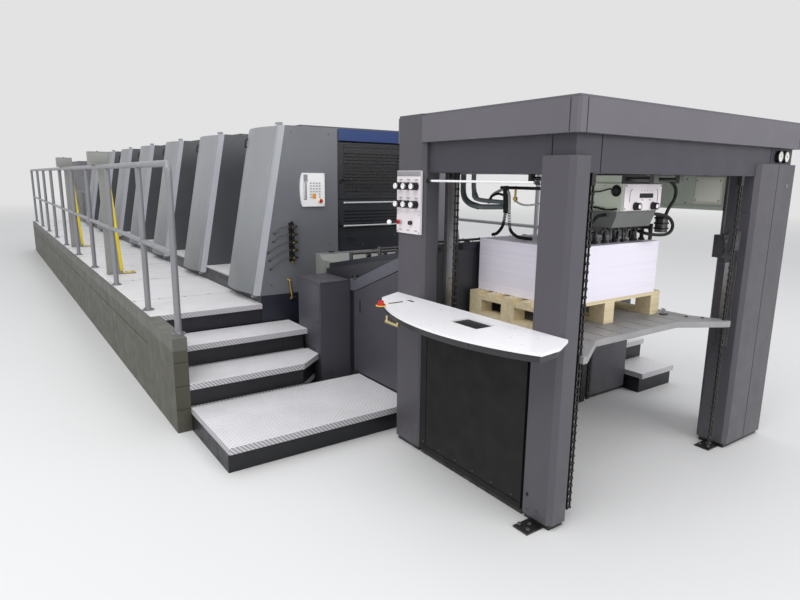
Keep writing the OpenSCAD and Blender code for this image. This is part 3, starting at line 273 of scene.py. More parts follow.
def cover_paint(name):
    """Silver grey paint of the leaning covers: painted shade that darkens towards the foot and towards the far part of
    each cover, scuffed by hands, with a fine flake.
    """
    finish = Finish(name)
    near_edge = finish.rounded_edges(0.004)
    # Painted shade: each cover grows darker towards its foot.
    foot = finish.spread(finish.part(finish.coords, "Z"), 1.45, 0.68, 0, 0.8)
    # Painted shade: each cover grows darker towards its far part.
    from_first = finish.maths("SUBTRACT", finish.part(finish.coords, "Y"), UNIT_Y[0] / 1000 + FRONT_Y)
    in_unit = finish.maths("FRACT", finish.maths("DIVIDE", from_first, UNIT_PITCH / 1000))
    far = finish.spread(in_unit, 0.14, 0.48, 0, 0.4)
    shade = finish.tones(srgb(150, 152, 156), 0.04, 1.6)
    shade = finish.blend(far, shade, finish.tones(srgb(126, 131, 130), 0.04, 1.6))
    shade = finish.blend(foot, shade, finish.tones(srgb(106, 110, 112), 0.05, 2.5))
    flake = finish.spread(finish.noise(1500, 1), 0.55, 0.75)
    shade = finish.blend(finish.times(flake, 0.12), shade, srgb(190, 192, 196))
    # Painted edge highlight: every edge of the covers is a little lighter.
    shade = finish.blend(finish.times(near_edge, 0.3), shade, srgb(196, 198, 202))
    smears = finish.spread(finish.noise(5, 7, finish.stretched((1, 1, 0.4)), 0.7), 0.5, 0.72, 0, 0.22)
    shade = finish.blend(smears, shade, srgb(132, 133, 136))
    shade = finish.dust(shade, srgb(150, 148, 142), 0.15)
    finish.bump(finish.noise(300, 2), 0.05, 0.0004)
    finish.done(shade, finish.gloss(finish.noise(6, 5), 0.34, 0.5), 0.15)


def studded_plate(finish, pitch):
    """Height of lens shaped studs at right angles to each other, seen from above, and the shade round them."""
    studs, rims = [], []
    for turn, shift in ((math.radians(45), 0), (math.radians(-45), 0.5)):
        cell = finish.vectors("FRACTION", finish.stretched((1 / pitch, 1 / pitch, 0), (shift, 0, 0)))
        turned = finish.node("ShaderNodeVectorRotate", rotation_type="Z_AXIS")
        finish.put(turned.inputs["Vector"], finish.vectors("SUBTRACT", cell, (0.5, 0.5, 0)))
        turned.inputs["Angle"].default_value = turn
        length = finish.vectors("LENGTH", finish.vectors("MULTIPLY", turned.outputs[0], (2.3, 6.4, 0)))
        studs.append(finish.spread(length, 1.0, 0.55))
        rims.append(finish.spread(length, 1.45, 1.05))
    return finish.maths("MAXIMUM", *studs), finish.maths("MAXIMUM", *rims)


def tread_plate(name, low, high, stud):
    """Bright tread plate on top; upright faces are dark, with a striped bright lip under each tread."""
    step, lip_height, stud_pitch = 0.155, 0.04, 0.032
    finish = Finish(name)
    finish.rounded_edges(0.002)
    upward = finish.maths("GREATER_THAN", finish.facing("Z"), 0.6)
    studs, rims = studded_plate(finish, stud_pitch)
    raised = finish.times(studs, upward)
    ground = finish.blend(finish.spread(finish.noise(5, 6), 0.3, 0.7), low, high)
    # Painted shade: a dark rim round each stud.
    ground = finish.blend(finish.times(rims, 0.7), ground, srgb(140, 138, 142))
    plate = finish.blend(raised, ground, stud)
    scuffed = finish.spread(finish.noise(26, 8, roughness=0.7), 0.55, 0.75)
    plate = finish.blend(finish.times(scuffed, 0.2), plate, srgb(150, 147, 148))
    in_step = finish.maths("FRACT", finish.maths("DIVIDE", finish.part(finish.coords, "Z"), step))
    lip = finish.maths("GREATER_THAN", in_step, 1 - lip_height / step)
    slope = finish.vectors("DOT_PRODUCT", finish.coords, (260, 260, 260))
    dashes = finish.spread(finish.maths("SINE", slope), 0.1, 0.6)
    nosing = finish.blend(dashes, srgb(158, 156, 160), srgb(212, 210, 214))
    side = finish.blend(lip, finish.tones(srgb(24, 25, 30), 0.08, 6), nosing)
    finish.bump(raised, 0.9, 0.0022)
    gloss = finish.gloss(finish.noise(18, 6), 0.34, 0.5)
    finish.done(finish.blend(upward, side, plate), gloss, finish.times(upward, 0.1))


def metal(name, colour, roughness, metallic=1.0, areas=()):
    """Bare metal with a fine directional brush. Areas are moulded plastic in their own colour."""
    finish = Finish(name)
    near_edge = finish.rounded_edges(0.0015)
    lines = finish.noise(3, 3, finish.stretched((8, 8, 240)))
    shade = finish.tones(colour, 0.08, 8)
    # Painted edge highlight: the edges of the metal are lighter.
    shade = finish.blend(finish.times(near_edge, 0.4), shade, srgb(215, 215, 212))
    shade = finish.painted_areas(shade, areas, 0.05, 8)
    for low, high, _ in areas:
        metallic = finish.times(metallic, finish.maths("SUBTRACT", 1.0, finish.inside(low, high)))
    finish.bump(lines, 0.12, 0.0004)
    finish.done(shade, finish.gloss(lines, roughness - 0.07, roughness + 0.1), metallic)


def moulded(name, colour, roughness, grain=0.1, coat=0.0, areas=()):
    """Moulded plastic or rubber with a fine spark texture."""
    finish = Finish(name)
    near_edge = finish.rounded_edges(0.0015)
    shade = finish.tones(colour, 0.02, 5)
    # Painted edge highlight: the edges of the plastic are lighter.
    shade = finish.blend(finish.times(near_edge, 0.3), shade, shaded(colour, 1.3, 0.03))
    shade = finish.painted_areas(shade, areas, 0.04, 5)
    finish.bump(finish.noise(900, 2), grain, 0.0002)
    finish.done(shade, finish.gloss(finish.noise(30, 4), roughness - 0.05, roughness + 0.07), Coat_Weight=coat)


def sawn_wood(name):
    """Pale pallet wood with grain along X, darker streaks and dirty edges."""
    finish = Finish(name)
    near_edge = finish.rounded_edges(0.002)
    grain = finish.noise(3, 5, finish.stretched((0.35, 22, 22)), 0.55)
    rings = finish.noise(1.2, 2, finish.stretched((0.25, 30, 30)))
    boards = finish.noise(1, 0, finish.stretched((0, 7.5, 12)))
    shade = finish.blend(finish.spread(grain, 0.3, 0.7), srgb(216, 200, 160), srgb(240, 226, 190))
    shade = finish.blend(finish.spread(rings, 0.52, 0.62, 0, 0.12), shade, srgb(190, 164, 122))
    shade = finish.blend(finish.spread(boards, 0.4, 0.6, 0, 0.15), shade, srgb(206, 186, 150))
    shade = finish.blend(finish.times(near_edge, 0.35), shade, srgb(150, 122, 90))
    finish.bump(grain, 0.2, 0.0008)
    finish.done(shade, finish.gloss(grain, 0.6, 0.8))


def stacked_paper(name):
    """Cut edges of a sheet pile: very fine layers, with faint shade between lifts of sheets."""
    finish = Finish(name)
    layers = finish.noise(1.2, 3, finish.stretched((0.8, 0.8, 260)), 0.6)
    lifts = finish.noise(1.0, 2, finish.stretched((0.5, 0.5, 34)))
    shade = finish.blend(finish.spread(layers, 0.35, 0.65), srgb(238, 233, 248), srgb(247, 243, 253))
    shade = finish.blend(finish.spread(lifts, 0.56, 0.6, 0, 0.1), shade, srgb(226, 223, 236))
    finish.bump(layers, 0.15, 0.0004)
    finish.done(shade, 0.75, Specular_IOR_Level=0.3)


def make_finishes(colours):
    """All finishes, each under its own name."""
    cladding, housing, blue = (tuple(held) + (1,) for held in (colours.cladding, colours.housing, colours.head_strip))
    dark = srgb(34, 34, 37)
    top_strip = area(blue, z0=GUARD_STRIP_Z)

    sheet_paint("feeder_paint", cladding, 0.46, 0.16)
    sheet_paint("dark_panel", srgb(74, 73, 80), 0.46, 0.16)
    sheet_paint("header_paint", srgb(62, 61, 69), 0.46, 0.14)
    sheet_paint("head_cover_paint", srgb(100, 98, 104), 0.46, 0.14)
    sheet_paint("black_steel", srgb(27, 27, 29), 0.42, 0.1, edge_wear_and_highlight=0.5)
    sheet_paint("black_panel", srgb(12, 12, 13), 0.7, 0.05, dusty=0.05)
    sheet_paint("frame_paint", srgb(58, 58, 63), 0.42, 0.08, dusty=0.1)
    sheet_paint("pale_green_paint", srgb(206, 213, 200), 0.42, 0.08, edge_wear_and_highlight=0.1)
    sheet_paint("head_paint", srgb(226, 235, 216), 0.42, 0.08, edge_wear_and_highlight=0.1, areas=[
        area(srgb(104, 106, 104), z1=CASE_Z), area(srgb(58, 58, 60), z1=BAR_Z),
        area(srgb(70, 71, 72), y1=240, z0=CASE_TOP_Z)])
    sheet_paint("inner_green_paint", srgb(204, 213, 200), 0.5, 0.1, edge_wear_and_highlight=0.1, areas=[
        area(srgb(232, 234, 216), x1=799, z0=1475)])
    sheet_paint("platform_steel", srgb(148, 147, 149), 0.48, 0.16, 0.1, edge_wear_and_highlight=0.9, spread=0.22)
    sheet_paint("grey_lug", srgb(146, 148, 152), 0.46, 0.12)
    sheet_paint("grey_paint", srgb(146, 148, 144), 0.42, 0.12)
    sheet_paint("band_paint", srgb(92, 93, 102), 0.4, 0.1, areas=[area(dark, y0=2151, z1=782)])
    sheet_paint("navy_paint", srgb(40, 41, 52), 0.4, 0.1)
    sheet_paint("unit_paint", housing, 0.42, 0.14)
    # The third colour is painted light on the first unit's front.
    tower_paint("tower_paint", housing, srgb(112, 114, 119), srgb(162, 164, 171))
    sheet_paint("field_paint", srgb(52, 53, 59), 0.36, 0.08, 0.1, areas=[
        area(srgb(206, 207, 208), y1=2817, z1=1500), top_strip])
    sheet_paint("guard_grey", srgb(50, 51, 57), 0.36, 0.08, 0.1)
    sheet_paint("front_guard_paint", srgb(46, 47, 52), 0.4, 0.08, 0.1, areas=[top_strip])
    sheet_paint("skirt_paint", srgb(72, 71, 60), 0.5, 0.12, edge_wear_and_highlight=0.5, dusty=0.2, areas=[
        area(srgb(92, 92, 86), z0=540), area(srgb(30, 31, 38), x0=-1888, x1=1888, y0=2785)])
    sheet_paint("rail_steel", srgb(138, 139, 143), 0.36, 0.06, 0.3, edge=0.001)
    sheet_paint("screen_paint", srgb(138, 139, 135), 0.45, 0.1)
    sheet_paint("yellow_paint", srgb(236, 206, 40), 0.4, 0.06)
    cover_paint("cover_silver")
    tread_plate("checker_plate", srgb(238, 236, 239), srgb(249, 248, 250), srgb(254, 253, 254))
    tread_plate("step_plate", srgb(232, 230, 234), srgb(246, 244, 248), srgb(254, 252, 254))

    metal("chain_steel", srgb(62, 61, 60), 0.38, 0.7)
    metal("bright_steel", srgb(176, 176, 174), 0.3)
    metal("guide_steel", srgb(150, 150, 150), 0.34, areas=[area(dark, x0=400, x1=699)])
    metal("dull_steel", srgb(96, 96, 95), 0.4, 0.7)
    metal("brass", srgb(196, 160, 84), 0.28)
    metal("desk_metal", srgb(226, 208, 156), 0.28, areas=[
        area(srgb(196, 44, 34), x1=-1045, z0=DESK_Z), area(dark, x0=-1045, z0=DESK_Z)])

    moulded("white_plastic", srgb(251, 250, 252), 0.36, 0.03, 0.1)
    moulded("desk_plastic", srgb(250, 249, 252), 0.32, 0.02, 0.15, areas=[area(srgb(44, 44, 48), z1=DESK_Z - 16)])
    moulded("red_plastic", srgb(190, 40, 30), 0.35)
    moulded("orange_plastic", srgb(226, 160, 60), 0.45)
    moulded("control_face", srgb(238, 231, 235), 0.5, 0.05)
    moulded("bare_plate", srgb(254, 255, 240), 0.4)
    moulded("pale_mark", srgb(186, 184, 188), 0.5)
    moulded("grey_strip", srgb(150, 146, 152), 0.5)
    moulded("black_plastic", srgb(22, 22, 24), 0.42)
    moulded("black_glass", srgb(16, 16, 18), 0.12, 0.02, 0.4)
    moulded("gauge_face", srgb(226, 224, 218), 0.3, coat=0.6)
    moulded("black_rubber", srgb(18, 18, 19), 0.6, 0.2)
    moulded("clear_hose", srgb(196, 202, 192), 0.3, 0.05, 0.3)
    moulded("grey_duct", srgb(112, 122, 124), 0.45, 0.1)
    sawn_wood("pallet_wood")
    stacked_paper("white_paper")


def turned_round(table):
    """Name by name what a table gives as one key for several names."""
    return {name: key for key, names in table.items() for name in names.split()}


NODE_FINISH = turned_round({
    "head_cover_paint": "feeder_head_cover",
    "header_paint": "feeder_header",
    "feeder_paint": "pillar_front_left pillar_rear_left pillar_front_right pillar_rear_right delivery_hood",
    "black_steel": "plinths",
    "black_panel": "desk_side_panel",
    "desk_plastic": "console_desk",
    "desk_metal": "desk_controls",
    "control_face": "feeder_control_panel head_control_face",
    "black_plastic": "control_knobs air_valve_block",
    "bright_steel": "pressure_gauges",
    "chain_steel": "lift_chains",
    "guide_steel": "chain_guides",
    "white_plastic": "light_bar unit_control_panel",
    "dull_steel": "head_carrier",
    "inner_green_paint": "drive_inner_panel",
    "head_paint": "suction_head",
    "black_rubber": "suckers head_hoses",
    "platform_steel": "pile_platform",
    "pallet_wood": "pallet",
    "white_paper": "paper_pile",
    "frame_paint": "infeed_frame",
    "guard_grey": "feed_table unit_guards",
    "grey_paint": "feed_drum_cover",
    "band_paint": "infeed_sides",
    "unit_paint": "drive_housing delivery_housing",
    "dark_panel": "side_door operator_cabinet unit_bridges",
    "navy_paint": "press_base",
    "tower_paint": "towers",
    "grey_lug": "cover_hinge_lugs",
    "cover_silver": "drive_covers " + " ".join("cover_%d" % (n + 1) for n in range(UNITS)),
    "checker_plate": "bridge_treads gallery_decks",
    "front_guard_paint": "front_guard",
    "field_paint": "front_guard_field",
    "skirt_paint": "gallery_skirts",
    "step_plate": "operator_steps drive_steps",
    "rail_steel": "operator_handrail drive_handrail",
    "screen_paint": "gallery_screens",
})


# Piece building


def around(centre, radius, angle, axis):
    """The point at an angle on a circle across the X, Y or Z axis."""
    offset = [radius * math.cos(angle), radius * math.sin(angle)]
    offset.insert("XYZ".index(axis), 0)
    return Vector(centre) + Vector(offset)


def circle(centre, radius, count, axis, start=0.0):
    """Evenly placed points of a circle; start is a share of the step between two of them."""
    return [around(centre, radius, math.tau * (k + start) / count, axis) for k in range(count)]


def smooth_path(points, steps):
    """Points of a Catmull-Rom curve through the given points."""
    points = [Vector(p) for p in points]
    if len(points) < 3:
        return points
    padded = [2 * points[0] - points[1]] + points + [2 * points[-1] - points[-2]]
    path = []
    for a, b, c, d in zip(padded, padded[1:], padded[2:], padded[3:]):
        for k in range(steps):
            t = k / steps
            bend = (2 * a - 5 * b + 4 * c - d) * t * t + (3 * b - a - 3 * c + d) * t ** 3
            path.append(0.5 * (2 * b + (c - a) * t + bend))
    return path + [points[-1]]


class Shape:
    """A mesh being built in millimetres on the press's axes, with one finish per solid."""

    def __init__(self):
        self.mesh = bmesh.new()
        self.finishes = []
        self.dressed = set()

    def _dress(self, finish, smooth):
        """Gives the faces made since the last solid their finish."""
        if finish not in self.finishes:
            self.finishes.append(finish)
        for face in self.mesh.faces:
            if face not in self.dressed:
                face.material_index = self.finishes.index(finish)
                face.smooth = smooth
        self.dressed = set(self.mesh.faces)

    def _rounded(self, verts, round_by):
        edges = {edge for vert in verts for edge in vert.link_edges}
        bmesh.ops.bevel(self.mesh, geom=list(edges), offset=round_by, segments=2, affect="EDGES", profile=0.5)

    def _points(self, points):
        return [self.mesh.verts.new(p) for p in points]

    def _skin(self, rings, sides, closed=False):
        """Faces from ring to ring of points, with caps on the ends unless the last ring meets the first."""
        for lower, upper in zip(rings, rings[1:] + rings[:closed]):
            for k in range(sides):
                corners = [lower[k % len(lower)], lower[(k + 1) % len(lower)],
                           upper[(k + 1) % len(upper)], upper[k % len(upper)]]
                kept = [c for n, c in enumerate(corners) if c not in corners[:n]]
                if len(kept) > 2:
                    self.mesh.faces.new(kept)
        if closed:
            return
        for cap in (rings[0][::-1], rings[-1]):
            if len(cap) > 2:
                self.mesh.faces.new(cap)

    def box(self, low, high, finish, round_by=0.0):
        size = Vector(high) - Vector(low)
        place = Matrix.Translation((Vector(high) + Vector(low)) / 2) @ Matrix.Diagonal((*size, 1))
        made = bmesh.ops.create_cube(self.mesh, size=1, matrix=place)
        if round_by:
            self._rounded(made["verts"], round_by)
        self._dress(finish, bool(round_by))

    def turned(self, base, axis, profile, finish, sides=24):
        """A turned piece: profile is (distance along axis, radius) from one closed end to the other."""
        axis = Vector(axis).normalized()
        turn = axis.to_track_quat("Z", "Y").to_matrix()
        rings = []
        for along, radius in profile:
            centre = Vector(base) + axis * along
            rim = circle((0, 0, 0), radius, sides if radius > 0 else 1, "Z")
            rings.append(self._points(centre + turn @ point for point in rim))
        self._skin(rings, sides)
        self._dress(finish, True)

    def rod(self, start, end, radius, finish, sides=20, chamfer=0.0):
        length = (Vector(end) - Vector(start)).length
        c = min(chamfer, radius * 0.9, length / 2)
        profile = [(0, radius), (length, radius)]
        if c:
            profile = [(0, radius - c), (c, radius), (length - c, radius), (length, radius - c)]
        self.turned(start, Vector(end) - Vector(start), profile, finish, sides)

    def ball(self, centre, radius, finish, sides=16):
        steps = 8
        angles = [math.pi * k / steps for k in range(1, steps)]
        profile = [(radius - radius * math.cos(a), radius * math.sin(a)) for a in angles]
        foot = Vector(centre) - Vector((0, 0, radius))
        self.turned(foot, UP, [(0, 0), *profile, (2 * radius, 0)], finish, sides)

    def tube(self, points, radius, finish, sides=10, steps=8):
        """A bent rod on a smooth curve through the points, closed at both ends."""
        path = smooth_path(points, steps)
        rings = []
        side = None
        for n, point in enumerate(path):
            ahead = (path[min(n + 1, len(path) - 1)] - path[max(n - 1, 0)]).normalized()
            if side is None:
                side = ahead.orthogonal().normalized()
            side = (side - ahead * side.dot(ahead)).normalized()
            other = ahead.cross(side)
            rim = circle((0, 0, 0), radius, sides, "Z")
            rings.append(self._points(point + side * p.x + other * p.y for p in rim))
        self._skin(rings, sides)
        self._dress(finish, True)

    def grip(self, foot, end, out, corner, radius, finish, sides=12, steps=5, ease=0):
        """A bowed handle from foot to end that stands off by the out vector, less at its corners."""
        foot, end, out = Vector(foot), Vector(end), Vector(out)
        along = (end - foot).normalized()
        low = out * (1 - 4 / out.length)
        self.tube([foot, foot + low + along * ease, foot + out + along * corner,
                   end + out - along * corner, end + low - along * ease, end], radius, finish, sides, steps)

    def ring(self, centre, axis, radius, wire, finish, sides=24, around_wire=8):
        """A round wire ring about an axis."""
        turn = Vector(axis).normalized().to_track_quat("Z", "Y").to_matrix()
        section = circle((0, 0, 0), wire, around_wire, "Y")
        loops = []
        for outward in circle((0, 0, 0), 1, sides, "Z"):
            loops.append(self._points(
                Vector(centre) + turn @ (outward * (radius + p.x) + Vector((0, 0, p.z))) for p in section))
        self._skin(loops, around_wire, closed=True)
        self._dress(finish, True)

    def slab(self, outline, depth, finish, round_by=0.0):
        """A flat outline of 3D points pushed out by a depth vector."""
        rings = [self._points(outline), self._points(Vector(p) + Vector(depth) for p in outline)]
        self._skin(rings, len(outline))
        if round_by:
            self._rounded(rings[0] + rings[1], round_by)
        self._dress(finish, bool(round_by))

    def finish(self, name, body="root"):
        """The built piece, riding on its body."""
        bmesh.ops.remove_doubles(self.mesh, verts=self.mesh.verts, dist=0.0005)
        bmesh.ops.recalc_face_normals(self.mesh, faces=self.mesh.faces)
        for vert in self.mesh.verts:
            vert.co = metres(vert.co)
        data = bpy.data.meshes.new(name)
        self.mesh.to_mesh(data)
        self.mesh.free()
        for finish in self.finishes:
            data.materials.append(FINISHES[finish])
        keep(name, data, body)


def keep(name, data, body):
    """Puts a finished mesh in the scene, on its body."""
    data.set_sharp_from_angle(angle=math.radians(38))
    piece = bpy.data.objects.new(name, data)
    bpy.context.scene.collection.objects.link(piece)
    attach(piece, body)


# Repeated parts, made with Geometry Nodes


class Pattern:
    """A geometry node tree with named inputs that ends in Realize Instances and Set Material."""

    def __init__(self, name):
        self.tree = bpy.data.node_groups.new(name, "GeometryNodeTree")
        self.tree.interface.new_socket("Geometry", in_out="INPUT", socket_type="NodeSocketGeometry")
        self.tree.interface.new_socket("Geometry", in_out="OUTPUT", socket_type="NodeSocketGeometry")
        self.start = self.tree.nodes.new("NodeGroupInput")
        self.names = {}

    def size(self, name, kind="Float"):
        socket = self.tree.interface.new_socket(name, in_out="INPUT", socket_type="NodeSocket" + kind)
        self.names[name] = socket.identifier
        return self.start.outputs[name]

    def node(self, kind, inputs=None, **settings):
        made = self.tree.nodes.new(kind)
        for key, value in settings.items():
            setattr(made, key, value)
        for key, value in (inputs or {}).items():
            if isinstance(value, bpy.types.NodeSocket):
                self.tree.links.new(value, made.inputs[key])
            else:
                made.inputs[key].default_value = value
        return made

    def end(self, geometry):
        real = self.node("GeometryNodeRealizeInstances", {"Geometry": geometry})
        finish = self.size("Finish", "Material")
        painted = self.node("GeometryNodeSetMaterial", {"Geometry": real.outputs[0], "Material": finish})
        out = self.tree.nodes.new("NodeGroupOutput")
        self.tree.links.new(painted.outputs[0], out.inputs[0])
        return self

    def lay(self, name, finish, body="root", points=(), edges=(), facing=(), **values):
        """Runs the pattern on a mesh of points in millimetres and keeps the plain result."""
        base = bpy.data.meshes.new(name)
        base.from_pydata([metres(p) for p in points] or [(0, 0, 0)], list(edges), [])
        if facing:
            layer = base.attributes.new("facing", "FLOAT_VECTOR", "POINT")
            for item, direction in zip(layer.data, facing):
                item.vector = direction
        holder = bpy.data.objects.new(name + "_pattern", base)
        bpy.context.scene.collection.objects.link(holder)
        modifier = holder.modifiers.new("pattern", "NODES")
        modifier.node_group = self.tree
        modifier[self.names["Finish"]] = FINISHES[finish]
        for key, value in values.items():
            modifier[self.names[key.replace("_", " ")]] = value
        bpy.context.view_layer.update()
        seen = holder.evaluated_get(bpy.context.evaluated_depsgraph_get())
        data = bpy.data.meshes.new_from_object(seen)
        holder.modifiers.remove(modifier)
        bpy.data.objects.remove(holder)
        if not data.polygons:
            raise RuntimeError("pattern %s made no faces" % name)
        data.name = name
        keep(name, data, body)


def bar_pattern():
    """A row of equal bars: first bar's centre, step to the next, and a bar's size."""
    pattern = Pattern("row_of_bars")
    line = pattern.node("GeometryNodeMeshLine", {
        "Count": pattern.size("Count", "Int"), "Start Location": pattern.size("First", "Vector"),
        "Offset": pattern.size("Step", "Vector")})
    bar = pattern.node("GeometryNodeMeshCube", {"Size": pattern.size("Bar", "Vector")})
    laid = pattern.node("GeometryNodeInstanceOnPoints", {"Points": line.outputs[0], "Instance": bar.outputs[0]})
    return pattern.end(laid.outputs[0])


def screw_pattern():
    """A round or six-sided head on each point, standing along the point's facing."""
    pattern = Pattern("screw_heads")
    head = pattern.node("GeometryNodeMeshCone", {
        "Vertices": pattern.size("Sides", "Int"), "Radius Top": pattern.size("Top Radius"),
        "Radius Bottom": pattern.size("Radius"), "Depth": pattern.size("Height")})
    facing = pattern.node("GeometryNodeInputNamedAttribute", {"Name": "facing"}, data_type="FLOAT_VECTOR")
    turn = pattern.node("FunctionNodeAlignRotationToVector", {"Vector": facing.outputs[0]}, axis="Z")
    points = pattern.node("GeometryNodeMeshToPoints", {"Mesh": pattern.start.outputs["Geometry"]})
    laid = pattern.node("GeometryNodeInstanceOnPoints", {
        "Points": points.outputs[0], "Instance": head.outputs[0], "Rotation": turn.outputs[0]})
    return pattern.end(laid.outputs[0])


def bead_pattern():
    """Rings threaded on a path: bellows, a bead chain or the ribs of a duct."""
    pattern = Pattern("threaded_rings")
    curve = pattern.node("GeometryNodeMeshToCurve", {"Mesh": pattern.start.outputs["Geometry"]})
    points = pattern.node("GeometryNodeCurveToPoints", {
        "Curve": curve.outputs[0], "Length": pattern.size("Spacing")}, mode="LENGTH")
    ring = pattern.node("GeometryNodeMeshCylinder", {
        "Vertices": pattern.size("Sides", "Int"), "Radius": pattern.size("Radius"), "Depth": pattern.size("Width")})
    laid = pattern.node("GeometryNodeInstanceOnPoints", {
        "Points": points.outputs["Points"], "Instance": ring.outputs[0], "Rotation": points.outputs["Rotation"]})
    return pattern.end(laid.outputs[0])


PATTERNS = {}


def bars(name, finish, first, step, size, count, body="root"):
    """Bars in millimetres: centre of the first, step, size and count."""
    step, size = Vector(step) / 1000, Vector(size) / 1000
    PATTERNS["bars"].lay(name, finish, body, Count=count, First=metres(first), Step=step, Bar=size)


def screws(name, finish, facing, points, radius, height, sides=12, body="root"):
    """Heads on points, all facing one way or each its own; each stands half its height out of the face."""
    ways = facing if isinstance(facing, list) else [facing] * len(points)
    PATTERNS["screws"].lay(
        name, finish, body, points=points, facing=[Vector(way).normalized() for way in ways], Sides=sides,
        Radius=radius / 1000, Top_Radius=radius * 0.8 / 1000, Height=height / 1000)


def beads(name, finish, path, spacing, radius, width, body="root"):
    """Rings every spacing along a smooth path."""
    line = smooth_path(path, 6)
    PATTERNS["beads"].lay(
        name, finish, body, points=line, edges=[(k, k + 1) for k in range(len(line) - 1)],
        Spacing=spacing / 1000, Sides=12, Radius=radius / 1000, Width=width / 1000)


# Colours and lights that the panel shows


def colour(name, description, red, green, blue):
    return FloatVectorProperty(
        name=name, description=description, default=srgb(red, green, blue)[:3], size=3, subtype="COLOR", min=0, max=1)


class PressColours(bpy.types.PropertyGroup):
    """Paint colours of the press."""

    cladding: colour("Cladding", "Dark paint of the gantry", 82, 80, 86)
    housing: colour("Housing", "Paint of the unit towers", 84, 86, 89)
    head_strip: colour("Head strip", "Paint of the strip along the top of the front guard", 33, 61, 114)
    floor: colour("Floor", "Plain studio floor", 226, 226, 226)


class StageSettings(bpy.types.PropertyGroup):
    """Studio round the press."""

    floor_size: FloatProperty(name="Floor size", description="Width of the plain floor", default=140, unit="LENGTH")
    key_power: FloatProperty(
        name="Key light", description="Power of the large soft light over the operator side", default=390)
    fill_power: FloatProperty(
        name="Fill light", description="Power of the light in front of the feeder", default=340)
    sky: FloatProperty(name="Sky", description="Strength of the even surrounding light", default=0.72)
    lens: FloatProperty(
        name="Lens", description="Focal length on a 36 mm wide sensor, in millimetres", default=26.775)


def settings(name):
    return getattr(bpy.context.scene, "press_" + name)


class Builder(bpy.types.Operator):
    """Common run of the piece operators."""

    bl_options = {"REGISTER", "UNDO"}

    def execute(self, context):
        self.build(context)
        return {"FINISHED"}


# Operators


class PRESS_OT_cad_finishes(Builder):
    """Gives every node of the CAD model its finish."""

    bl_idname = "press.cad_finishes"
    bl_label = "Finish the CAD nodes"

    def build(self, context):
        make_finishes(settings("colours"))
        for name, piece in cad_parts.items():
            if name not in NODE_FINISH:
                raise RuntimeError("no finish is named for node " + name)
            if not piece.material_slots:
                piece.data.materials.append(None)
            for held in piece.material_slots:
                held.material = FINISHES[NODE_FINISH[name]]
        PATTERNS.update(bars=bar_pattern(), screws=screw_pattern(), beads=bead_pattern())


